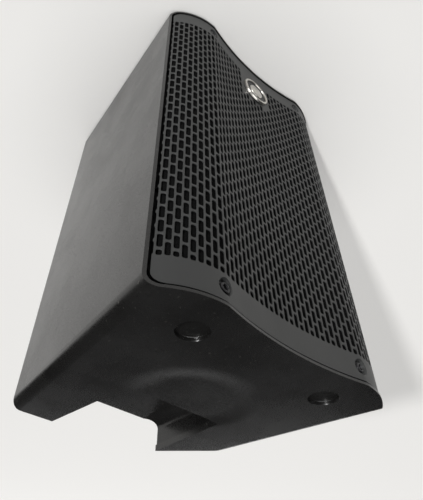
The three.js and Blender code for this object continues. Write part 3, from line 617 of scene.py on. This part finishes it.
def add_handle(shell):
    outline = pocket_outline(WALL, TOP - WALL / 2)
    casing = raw_object("casing", across(outline, POCKET_FRONT - WALL, BACK - CASING_GAP))
    inside = hull("inside", SHOULDER_DEPTH, WALL / 2)
    cut_by(casing, inside, "INTERSECT")
    cut_by(shell, casing, "UNION")
    slope = (POCKET_HALF - NOTCH_HALF) / (BACK - NOTCH_FRONT)
    back_reach = POCKET_HALF + PAST * slope
    notch = prism_z([(-NOTCH_HALF, NOTCH_FRONT), (NOTCH_HALF, NOTCH_FRONT), (back_reach, BACK + PAST),
                     (-back_reach, BACK + PAST)], POCKET_CEILING - NOTCH_OVERLAP, TOP + PAST)
    space = across(pocket_outline(0, POCKET_CEILING), POCKET_FRONT, BACK + PAST)
    combine(shell, "DIFFERENCE", space, notch)


def scoop_shape():
    """A shallow round hollow whose edge runs out softly into the flat end."""
    rings = 8
    profile = [(0, -SCOOP_SINK)]
    for i in range(rings + 1):
        t = i / rings
        fall = SCOOP_SINK * (1 + math.cos(math.pi * t)) / 2
        profile.append((SCOOP_FLAT + (SCOOP_RADIUS - SCOOP_FLAT) * t, -fall))
    profile += [(SCOOP_RADIUS, CLEAR), (0, CLEAR)]
    return turned(profile, 96, (0, FRONT + SCOOP_DEPTH, TOP), "Z")


def dimple_shape(side):
    """A stacking dimple with a slightly domed floor and a groove round it."""
    profile = [(0, -2), (4, -2.1), (8, -2.42), (11, -2.8), (12.3, -3.0), (12.6, -2.8), (13.0, -0.6),
               (13.4, 0.0), (13.4, CLEAR), (0, CLEAR)]
    return turned(profile, 64, (side * DIMPLE_HALF_SPACING, FRONT + DIMPLE_DEPTH, TOP), "Z")


def dimple_backing(side):
    profile = [(0, -6), (16.5, -6), (16.5, -1.5), (0, -1.5)]
    return turned(profile, 48, (side * DIMPLE_HALF_SPACING, FRONT + DIMPLE_DEPTH, TOP), "Z")


def pole_hole():
    profile = [(0, -CLEAR), (POLE_HOLE, -CLEAR), (POLE_HOLE, CLEAR), (0, CLEAR)]
    return turned(profile, 64, (0, FRONT + POLE_DEPTH, BOTTOM), "Z")


def on_lip(point):
    return abs(point.y - FRONT - front_depth(point.x)) < 2 * HAIR


def near_lip(point):
    return point.y - FRONT - front_depth(point.x) < 3 * LIP_ROUND


def cabinet_shell():
    start = -PAST
    shell = hull("shell", start)
    combine(shell, "INTERSECT", behind_front())
    cut_by(shell, hull("cavity", start, WALL), "DIFFERENCE")
    rebate = hull("rebate", start, LIP)
    front_space = box_mesh((-HALF_FRONT, FRONT - 2 * PAST, BOTTOM),
                           (HALF_FRONT, FRONT + LIP_REACH, TOP))
    combine(rebate, "INTERSECT", front_space)
    cut_by(shell, rebate, "DIFFERENCE")
    add_rear_recess(shell)
    add_handle(shell)
    combine(shell, "DIFFERENCE", scoop_shape())
    for side in (-1, 1):
        combine(shell, "UNION", dimple_backing(side))
        combine(shell, "DIFFERENCE", dimple_shape(side))
    combine(shell, "DIFFERENCE", pole_hole())
    soften_edges(shell, LIP_ROUND, 30, 4, where=on_lip)
    soften_edges(shell, EDGE_ROUND, 30, 2, where=lambda p: not near_lip(p))
    finish_piece(shell, "cabinet", "cabinet", ["cabinet_shell"])
    smooth(shell, 35)
    even_shading(shell)
    shell.name = "shell_moulding"


# ---------------------------------------------------------------- grille sheet
SHEET_RECESS = 1.2 * MM
SHEET = 0.7 * MM
CREST_TURN = math.asin(CREST / VALLEY_RADIUS)
VALLEY_COLUMNS = 13
SHOULDER_COLUMNS = 9
EDGE_STRIP = 0.27
SLOT_HALF = 2.2 * MM
SLOT_CORNER = 1.4 * MM
SLOT_STEPS = 2
SLOT_LENGTH = 12.2 * MM
SHORT_SLOT = 4.9 * MM
SHORT_SHIFT = 0.25 * MM
CHAMFER = 0.25 * MM
ROWS = 26
FIELD_MARGIN = 27.05 * MM
FIELD_LOW = BOTTOM + FIELD_MARGIN
FIELD_HIGH = TOP - FIELD_MARGIN
ROW_PITCH = (FIELD_HIGH - FIELD_LOW) / (ROWS + 0.5)
PAD_COLUMNS = 4
PAD_HIGH = BOTTOM + 82 * MM
DISH_RADIUS = 7.3 * MM
DISH_FLOOR = 5.1 * MM
DISH_SINK = 3 * MM
DISH_CLEAR = 0.8 * MM
DISH_RINGS = (2.5 * MM, 4 * MM, DISH_FLOOR, 5.6 * MM, 6.2 * MM, 6.8 * MM, DISH_RADIUS)

# Margins for rounding, and the grids on which equal tiles and shared corners are found.
ROUNDING = 1e-9
FILL_TOLERANCE = 1e-4
TILE_KEYS_PER_METRE = 1e6
MERGE_KEYS_PER_METRE = 1e5

sheet_low, sheet_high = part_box("grille")
SHEET_HALF = sheet_high.x
SHEET_CORNER = 9 * MM
SCREW_PLACES = [centre_of(f"grille_screw_{i}") for i in (1, 2, 3, 4)]


def crest_meeting(setback):
    return CREST + setback * math.tan(CREST_TURN / 2)


def arc_limits(setback):
    meeting = crest_meeting(setback)
    valley_end = math.asin(meeting / (VALLEY_RADIUS + setback))
    shoulder_start = math.asin((meeting - CREST) / (SHOULDER_RADIUS - setback))
    return valley_end, shoulder_start


SHOULDER_END = math.asin((SHEET_HALF - CREST) / (SHOULDER_RADIUS - SHEET_RECESS))
VALLEY_RUN = (VALLEY_RADIUS + SHEET_RECESS) * arc_limits(SHEET_RECESS)[0]
SHOULDER_RUN = (SHOULDER_RADIUS - SHEET_RECESS) * (SHOULDER_END - arc_limits(SHEET_RECESS)[1])
HALF_RUN = VALLEY_RUN + SHOULDER_RUN


def on_front(run, height, setback):
    """Points behind the waved front, from their run along the wave, height and distance behind it."""
    along = np.abs(run)
    valley_ends, shoulder_starts = np.array([arc_limits(s) for s in setback.tolist()]).T
    valley_angle = valley_ends * along / VALLEY_RUN
    swing = (SHOULDER_END - shoulder_starts) * (along - VALLEY_RUN) / SHOULDER_RUN
    shoulder_angle = shoulder_starts + swing
    in_valley = along <= VALLEY_RUN + ROUNDING
    valley_x = (VALLEY_RADIUS + setback) * np.sin(valley_angle)
    valley_y = VALLEY_DEPTH - VALLEY_RADIUS + (VALLEY_RADIUS + setback) * np.cos(valley_angle)
    shoulder_x = CREST + (SHOULDER_RADIUS - setback) * np.sin(shoulder_angle)
    shoulder_y = SHOULDER_RADIUS - (SHOULDER_RADIUS - setback) * np.cos(shoulder_angle)
    x = np.sign(run) * np.where(in_valley, valley_x, shoulder_x)
    y = FRONT + np.where(in_valley, valley_y, shoulder_y)
    return np.stack([x, y, height], 1)


def run_at(x):
    """Run along the wave of a point on the shoulder."""
    angle = math.asin((x - CREST) / (SHOULDER_RADIUS - SHEET_RECESS))
    start = arc_limits(SHEET_RECESS)[1]
    return VALLEY_RUN + (angle - start) / (SHOULDER_END - start) * SHOULDER_RUN


def column_edges():
    valley = [VALLEY_RUN * i / VALLEY_COLUMNS for i in range(VALLEY_COLUMNS)]
    pitch = SHOULDER_RUN / (SHOULDER_COLUMNS + EDGE_STRIP)
    shoulder = [VALLEY_RUN + pitch * i for i in range(SHOULDER_COLUMNS + 1)]
    return valley + shoulder + [HALF_RUN]


COLUMN_EDGES = column_edges()


def slot_outline(middle, low, high, grow):
    half = SLOT_HALF + grow
    radius = SLOT_CORNER + grow
    points = rounded_rectangle(half, low - grow, high + grow, radius, SLOT_STEPS)
    return [(middle + x, y) for x, y in points]


def clipped(points, limit):
    """The part of a closed outline that lies left of the limit."""
    kept = []
    for (ax, ay), (bx, by) in zip(points, points[1:] + points[:1]):
        if ax <= limit:
            kept.append((ax, ay))
        if (ax - limit) * (bx - limit) < 0:
            t = (limit - ax) / (bx - ax)
            kept.append((limit, ay + (by - ay) * t))
    return kept


def in_slot(x, y, slot, grow):
    middle, low, high = slot
    inner = SLOT_HALF - SLOT_CORNER
    nearest_x = min(max(x, middle - inner), middle + inner)
    nearest_y = min(max(y, low + SLOT_CORNER), high - SLOT_CORNER)
    return math.hypot(x - nearest_x, y - nearest_y) < SLOT_CORNER + grow


class FlatPiece:
    """Flat triangles with a depth at each corner, to be tiled over the sheet."""

    def __init__(self, points, faces, depths=None):
        self.points = np.array(points, float)
        self.faces = [tuple(f) for f in faces]
        self.depths = np.zeros(len(points)) if depths is None else np.array(depths, float)

    def placed(self, run, height, mirror=False):
        """The piece moved to a place, or mirrored there across its own left edge."""
        points = self.points * ((-1 if mirror else 1), 1) + (run, height)
        faces = [f[::-1] for f in self.faces] if mirror else self.faces
        return points, faces, self.depths


def fill(points, outlines, keep):
    """Delaunay triangles of the points, with the outlines as edges; keep(x, y) says what stays."""
    edges = []
    for outline in outlines:
        edges += list(zip(outline, outline[1:]))
    flat = [Vector(p) * MM_PER_METRE for p in points]
    found, _, triangles, *_ = delaunay_2d_cdt(flat, edges, [], 0, FILL_TOLERANCE)
    corners = [c / MM_PER_METRE for c in found]
    faces = []
    for face in triangles:
        middle = sum((corners[i] for i in face), Vector((0, 0))) / len(face)
        if keep(middle.x, middle.y):
            faces.append(tuple(face))
    return corners, faces


def cell(width, height, slot):
    """One tile of the sheet, from its left edge, with a slot (middle, low, high) or none."""
    sides = round(height / (ROW_PITCH / 4))
    levels = [height * i / sides for i in range(sides + 1)]
    left = [(0, y) for y in levels]
    right = [(width, y) for y in levels[::-1]]
    rim = left + [(width / 2, height)] + right + [(width / 2, 0)]
    border = list(range(len(rim))) + [0]
    if slot is None:
        corners, faces = fill(rim, [border], lambda x, y: True)
        return FlatPiece(corners, faces)
    open_edge = slot[0] + SLOT_HALF > width
    grow = 0 if open_edge else CHAMFER
    mouth = clipped(slot_outline(*slot, grow), width)
    ring = [len(rim) + i for i in range(len(mouth))]
    corners, faces = fill(rim + mouth, [border, ring + ring[:1]],
                          lambda x, y: not in_slot(x, y, slot, grow - HAIR))
    piece = FlatPiece(corners, faces)
    if open_edge:
        return piece
    throat = slot_outline(*slot, 0)
    count = len(throat)
    first = len(corners)
    piece.points = np.vstack([piece.points, mouth, throat])
    piece.depths = np.concatenate([piece.depths, np.zeros(count), np.full(count, CHAMFER)])
    for i in range(count):
        j = (i + 1) % count
        piece.faces.append((first + i, first + j, first + count + j, first + count + i)[::-1])
    return piece


def field_tiles():
    """Every tile of the slotted field, with its place."""
    cells = {}

    def tile(width, height, low, high, middle, run, base, mirror):
        slotted = low is not None
        key = tuple(round(v * TILE_KEYS_PER_METRE) for v in (width, height, low if slotted else -1))
        if key not in cells:
            cells[key] = cell(width, height, (middle, low, high) if slotted else None)
        return cells[key].placed(run, base, mirror)

    half_row = ROW_PITCH / 2
    slot_low = (ROW_PITCH - SLOT_LENGTH) / 2
    short_low = half_row - slot_low - SHORT_SLOT + SHORT_SHIFT
    for mirror in (False, True):
        sign = -1 if mirror else 1
        for number, (left, right) in enumerate(zip(COLUMN_EDGES, COLUMN_EDGES[1:]), 1):
            pitch = COLUMN_EDGES[number] - COLUMN_EDGES[number - 1]
            middle = pitch / 2
            if number > VALLEY_COLUMNS + SHOULDER_COLUMNS:
                middle = (COLUMN_EDGES[number - 1] - COLUMN_EDGES[number - 2]) / 2
            whole_at_top = (number % 2 == 1) != mirror
            base = FIELD_LOW + (half_row if whole_at_top else 0)
            for row in range(ROWS):
                at = base + row * ROW_PITCH
                solid = number <= PAD_COLUMNS and at + half_row < PAD_HIGH
                low = None if solid else slot_low
                yield tile(right - left, ROW_PITCH, low, slot_low + SLOT_LENGTH, middle,
                           sign * left, at, mirror)
            if whole_at_top:
                solid = number <= PAD_COLUMNS
                low = None if solid else half_row - short_low - SHORT_SLOT
                at = FIELD_LOW
            else:
                low = short_low
                at = FIELD_HIGH - half_row
            high = None if low is None else low + SHORT_SLOT
            yield tile(right - left, half_row, low, high, middle, sign * left, at, mirror)


def band_corner(edge, inward):
    """The sheet's rounded corner, from its side edge to its end edge."""
    corner = []
    steps = 8
    for step in range(steps + 1):
        angle = math.pi / 2 * step / steps
        x = SHEET_HALF - SHEET_CORNER + SHEET_CORNER * math.cos(angle)
        corner.append((run_at(x), edge + inward * SHEET_CORNER * (1 - math.sin(angle))))
    corner[0] = (HALF_RUN, corner[0][1])
    return corner


def dish_depth(reach):
    """Depth of a pressed dish at a distance from its middle, with a soft slope down to its floor."""
    t = (DISH_RADIUS - reach) / (DISH_RADIUS - DISH_FLOOR)
    t = min(max(t, 0.0), 1.0)
    return DISH_SINK * t * t * (3 - 2 * t)


def end_band(high_end):
    """The plain strip at one end of the sheet, with two pressed screw dishes."""
    field = FIELD_HIGH if high_end else FIELD_LOW
    edge = sheet_high.z if high_end else sheet_low.z
    inward = -1 if high_end else 1
    runs = sorted({round(s * v, 9) for v in COLUMN_EDGES for s in (-1, 1)})
    field_runs = sorted(runs + [(a + b) / 2 for a, b in zip(runs, runs[1:])])
    field_line = [(r, field) for r in field_runs]
    corner = band_corner(edge, inward)
    limit = corner[-1][0]
    edge_line = [(r, edge) for r in field_runs[::-1] if abs(r) < limit - MM]
    outline = field_line + corner + edge_line + [(-r, h) for r, h in corner[::-1]]
    screws = [p for p in SCREW_PLACES
              if (p.z > field) == high_end and abs(p.z - field) < 4 * FIELD_MARGIN]
    dishes = [Vector((math.copysign(VALLEY_RUN, p.x), p.z)) for p in screws]
    points = list(outline)
    border = list(range(len(outline))) + [0]

    def dish_reach(x, y):
        return min((Vector((x, y)) - d).length for d in dishes)

    def inside(x, y):
        reach = abs(x) - limit
        rise = (y - edge) * inward
        if reach > 0 and rise < SHEET_CORNER:
            span = HALF_RUN - limit
            return (reach / span) ** 2 + ((SHEET_CORNER - rise) / SHEET_CORNER) ** 2 < 1
        return 0 < rise < (field - edge) * inward and abs(x) < HALF_RUN - HAIR

    levels = 6
    for r in runs:
        for i in range(1, levels):
            spot = (r, edge + (field - edge) * i / levels)
            if inside(r * 1.02, spot[1]) and dish_reach(*spot) > DISH_RADIUS + DISH_CLEAR:
                points.append(spot)
    spokes = 28
    for dish in dishes:
        for radius in DISH_RINGS:
            for i in range(spokes):
                angle = TAU * i / spokes
                points.append((dish.x + radius * math.cos(angle), dish.y + radius * math.sin(angle)))
    corners, faces = fill(points, [border],
                          lambda x, y: inside(x, y) or dish_reach(x, y) < DISH_RADIUS)
    depths = [dish_depth(dish_reach(c.x, c.y)) for c in corners]
    return FlatPiece(corners, faces, depths).placed(0, 0)


def merged(tiles):
    """One flat mesh from tiles that share their edges."""
    points = []
    faces = []
    depths = []
    start = 0
    for tile_points, tile_faces, tile_depths in tiles:
        points.append(tile_points)
        depths.append(tile_depths)
        faces += [tuple(start + i for i in f) for f in tile_faces]
        start += len(tile_points)
    points = np.vstack(points)
    depths = np.concatenate(depths)
    keys = np.round(np.column_stack([points, depths]) * MERGE_KEYS_PER_METRE).astype(np.int64)
    _, first, inverse = np.unique(keys, axis=0, return_index=True, return_inverse=True)
    inverse = inverse.ravel()
    clean = []
    for face in faces:
        corner = tuple(dict.fromkeys(int(inverse[i]) for i in face))
        if len(corner) > 2:
            clean.append(corner)
    return points[first], depths[first], clean


def thickened(points, depths, faces):
    """Gives the flat mesh its wave and thickness, with walls at every free edge."""
    count = len(points)
    front = on_front(points[:, 0], points[:, 1], SHEET_RECESS + depths)
    dish = np.where(depths > CHAMFER * 1.01, depths, 0)
    back = on_front(points[:, 0], points[:, 1], SHEET_RECESS + SHEET + dish)
    edges = dict.fromkeys(edge for face in faces for edge in zip(face, face[1:] + face[:1]))
    walls = [(a, a + count, b + count, b) for a, b in edges if (b, a) not in edges]
    backs = [tuple(i + count for i in f[::-1]) for f in faces]
    return np.vstack([front, back]), faces + backs + walls


def grille_panel():
    tiles = list(field_tiles()) + [end_band(False), end_band(True)]
    vertices, faces = thickened(*merged(tiles))
    panel = raw_object("grille_sheet", (vertices.tolist(), faces))
    finish_piece(panel, "grille", "cabinet", ["grille"])
    smooth(panel, 30)


# ---------------------------------------------------------------- screws and badge
HEAD_SINK = 0.9 * MM
KEY_RADIUS = 2.9 * MM
KEY_DEPTH = 2.2 * MM


def socket_screw(name, place, head_radius, node):
    """A button head with a hexagon socket; its head lies in the sheet's dish."""
    depth = FRONT + SHEET_RECESS + HEAD_SINK
    r = head_radius
    segments = 36
    profile = [(r, 3.4), (r, 1.0), (r * 0.96, 0.65), (r * 0.8, 0.25), (r * 0.66, 0.05), (0, 0)]
    vertices, faces = turned(profile, segments, (place.x, depth, place.z))
    head = raw_object(name, (vertices, faces + [tuple(range(segments))]))
    turns = [TAU * i / 6 for i in range(6)]
    hexagon = [(place.x + KEY_RADIUS * math.cos(turn), place.z + KEY_RADIUS * math.sin(turn))
               for turn in turns]
    combine(head, "DIFFERENCE", across(hexagon, depth - 1 * MM, depth + KEY_DEPTH))
    soften_edges(head, 0.12 * MM, 40, 2)
    finish_piece(head, "screws", "cabinet", [node])
    smooth(head, 35)


def badge_piece(name, slot, profile, segments):
    low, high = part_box("badge")
    face = ((low.x + high.x) / 2, low.y, (low.z + high.z) / 2)
    part = raw_object(name, turned(profile, segments, face))
    finish_piece(part, slot, "cabinet", ["badge"])
    smooth(part, 50)


def badge():
    """A bright ring round a dark dish, with a plain bright boss in the middle."""
    ring = [(20.5, 3.0), (20.5, 0.8), (20.3, 0.4), (19.9, 0.1), (19.3, 0.0), (18.4, 0.0), (17.9, 0.1),
            (17.6, 0.4), (17.5, 1.2), (17.5, 3.0), (20.5, 3.0)]
    field = [(0, 3.0), (17.45, 3.0), (16.8, 1.5), (12, 1.7), (0, 1.7)]
    boss = [(0, 2.0), (10.8, 2.0), (10.7, 1.2), (10.2, 0.8), (9.4, 0.7), (8.4, 0.75), (7.9, 0.95),
            (7.6, 1.4), (6.9, 1.5), (6.5, 1.1), (5.9, 0.75), (4.0, 0.55), (2.0, 0.48), (0, 0.45)]
    badge_piece("badge_ring", "badge", ring, 96)
    badge_piece("badge_field", "baffle", field, 96)
    badge_piece("badge_boss", "badge", boss, 72)


# ---------------------------------------------------------------- rear controls
KNOB_RIBS = 24
KNOB_LIMIT = 150
RIB_DEPTH = 0.45 * MM
RIB_START = 1.8 * MM
PRINT = 0.12 * MM
PRINT_ROOT = 0.2 * MM
SCALE_MARKS = 11
SCALE_RADIUS = 10
LINE_WIDTH = 0.4 * MM
LAMP_DROP = 20 * MM
panel_low, panel_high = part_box("amp_panel")
PANEL_FACE = panel_high.y


def level_knob(number):
    """A ribbed knob with a plain skirt and a painted pointer on its dished cap."""
    low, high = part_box(f"level_knob_{number}")
    place = Vector(((low.x + high.x) / 2, low.y, (low.z + high.z) / 2))
    length = (high.y - low.y) / MM
    radius = (high.x - low.x) / 2 / MM
    profile = [(0, 0), (radius, 0), (radius, 1.2), (radius - 0.5, 1.6), (radius - 0.6, 2.0),
               (radius - 0.8, length - 1.3), (radius - 1.1, length - 0.5),
               (radius - 1.7, length - 0.05), (radius - 2.2, length - 0.05),
               (radius - 2.8, length - 0.5), (0, length - 0.6)]
    vertices, faces = turned(profile, 5 * KNOB_RIBS, place)
    ribbed = []
    for vertex in vertices:
        reach = Vector(vertex) - place
        turn = math.atan2(reach.z, reach.x)
        across_axis = math.hypot(reach.x, reach.z)
        if reach.y > RIB_START and across_axis > (radius - 1.2) * MM:
            sunk = across_axis - RIB_DEPTH * (1 - math.cos(KNOB_RIBS * turn)) / 2
            vertex = (place.x + sunk * math.cos(turn), vertex[1], place.z + sunk * math.sin(turn))
        ribbed.append(vertex)
    cap = raw_object(f"ribbed_knob_{number}", (ribbed, faces))
    finish_piece(cap, "knobs", f"level_control_{number}", [f"level_knob_{number}"])
    smooth(cap, 40)
    half = 0.55 * MM
    line = raw_object(f"knob_pointer_{number}", box_mesh(
        (place.x - half, high.y - 0.9 * MM, place.z + 1.2 * MM),
        (place.x + half, high.y - 0.02 * MM, place.z + (radius - 1.6) * MM)))
    soften_edges(line, 0.15 * MM, 40, 2)
    finish_piece(line, "knobs", f"level_control_{number}", paint="print")


def cross_screw(name, node):
    """A pan head with a cross recess, facing the rear."""
    low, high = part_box(node)
    place = ((low.x + high.x) / 2, high.y, (low.z + high.z) / 2)
    r = (high.x - low.x) / 2 / MM
    profile = [(0, -1.8), (r, -1.8), (r, -1.0), (r * 0.94, -0.7), (r * 0.75, -0.28), (r * 0.45, -0.06),
               (0, 0)]
    head = raw_object(name, turned(profile, 32, place))
    for wide, high_side in ((r * 0.62, r * 0.16), (r * 0.16, r * 0.62)):
        slot = box_mesh((place[0] - wide * MM, place[1] - 1.0 * MM, place[2] - high_side * MM),
                        (place[0] + wide * MM, place[1] + 1.0 * MM, place[2] + high_side * MM))
        combine(head, "DIFFERENCE", slot)
    soften_edges(head, 0.08 * MM, 40, 2)
    finish_piece(head, "screws", "cabinet", [node])
    smooth(head, 35)


def bar(start, end, width):
    """A thin raised bar on the panel between two (x, z) points."""
    along = (end - start).normalized()
    aside = Vector((-along.y, along.x)) * width / 2
    corners = [start - aside, end - aside, end + aside, start + aside]
    count = len(corners)
    depths = (PANEL_FACE - PRINT_ROOT, PANEL_FACE + PRINT)
    vertices = [(c.x, depth, c.y) for depth in depths for c in corners]
    faces = [(0, 1, 2, 3), (7, 6, 5, 4)]
    faces += [(i, i + count, (i + 1) % count + count, (i + 1) % count) for i in range(count)]
    return vertices, faces


def joined(name, shapes):
    vertices = []
    faces = []
    for more_vertices, more_faces in shapes:
        faces += [tuple(len(vertices) + i for i in face) for face in more_faces]
        vertices += more_vertices
    return raw_object(name, (vertices, faces))


def level_scale(number):
    """Marks round a knob, from its lowest to its highest level."""
    knob = centre_of(f"level_knob_{number}")
    marks = []
    centre = Vector((knob.x, knob.z))
    last = SCALE_MARKS - 1
    for step in range(SCALE_MARKS):
        turn = math.radians(KNOB_LIMIT * (2 * step - last) / last)
        way = Vector((math.sin(turn), math.cos(turn)))
        outer = 12.6 if step in (0, last // 2, last) else 11.8
        marks.append(bar(centre + way * SCALE_RADIUS * MM, centre + way * outer * MM, 0.5 * MM))
    scale = joined(f"level_scale_{number}", marks)
    finish_piece(scale, "panel", paint="print")


def panel_lines():
    """Printed lines that part the two inputs, the link row and the mains row."""
    middle = (panel_low.x + panel_high.x) / 2
    half = 49 * MM
    inputs = centre_of("input_socket_1").z
    link = centre_of("link_socket").z
    mains = centre_of("mains_inlet").z
    knobs = centre_of("level_knob_1").z
    shapes = [bar(Vector((middle, inputs - 18 * MM)), Vector((middle, knobs + 15 * MM)), LINE_WIDTH)]
    for height in (inputs - 22 * MM, link - 26 * MM, mains + 24 * MM):
        left = Vector((middle - half, height))
        shapes.append(bar(left, Vector((middle + half, height)), LINE_WIDTH))
    finish_piece(joined("panel_lines", shapes), "panel", paint="print")


def signal_lamp(number):
    """A small domed lamp under a knob, in its ring."""
    knob = centre_of(f"level_knob_{number}")
    place = (knob.x, PANEL_FACE, knob.z - LAMP_DROP)
    dome = [(0, -0.4), (1.5, -0.4), (1.5, 0.5), (1.35, 0.9), (0.9, 1.25), (0.4, 1.4), (0, 1.45)]
    lens = raw_object(f"signal_lamp_{number}", turned(dome, 28, place))
    finish_piece(lens, "controls", paint="lens")
    smooth(lens, 50)
    collar = [(1.55, -0.4), (2.3, -0.4), (2.3, 0.4), (2.1, 0.6), (1.8, 0.6), (1.55, 0.4), (1.55, -0.4)]
    ring = raw_object(f"lamp_ring_{number}", turned(collar, 36, place))
    finish_piece(ring, "controls")
    smooth(ring, 50)


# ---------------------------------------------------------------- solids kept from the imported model
NODE_SLOTS = {
    "cabinet_shell": "cabinet", "front_baffle": "baffle", "grille": "grille", "grille_foam": "foam",
    "badge": "badge", "woofer_frame": "basket", "woofer_surround": "rubber", "woofer_cone": "cone",
    "dust_cap": "cone", "voice_coil": "coil", "spider": "spider", "woofer_top_plate": "steel",
    "woofer_yoke": "steel", "woofer_magnet": "magnet", "driver_magnet": "magnet", "horn": "horn",
    "driver_plate": "alloy", "heatsink": "alloy", "driver_cover": "baffle", "port_tube": "baffle",
    "pole_cup": "baffle", "foot": "rubber", "amp_panel": "panel", "amp_board": "board",
    "input_board": "board", "transformer": "coil", "level_pot": "steel", "level_knob": "knobs",
    "input_socket": "controls", "input_latch": "latches", "link_socket": "controls",
    "mode_button": "knobs", "mains_inlet": "controls", "power_switch_body": "controls",
    "power_rocker": "controls",
}


def slot_of(node):
    stem = node.rstrip("0123456789").rstrip("_")
    return "screws" if stem.endswith("screw") else NODE_SLOTS[stem]


def dress_nodes():
    for node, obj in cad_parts.items():
        obj.data.materials.clear()
        obj.data.materials.append(MATERIALS[slot_of(node)])
        smooth(obj, 28)


make_camera()
make_lights()
make_floor()
dress_nodes()
cabinet_shell()
grille_panel()
for number, place in enumerate(SCREW_PLACES, 1):
    socket_screw(f"sheet_screw_{number}", place, 4.5, f"grille_screw_{number}")
badge()
for number in (1, 2):
    level_knob(number)
    level_scale(number)
    signal_lamp(number)
panel_lines()
for number in (1, 2, 3, 4):
    cross_screw(f"rear_screw_{number}", f"panel_screw_{number}")
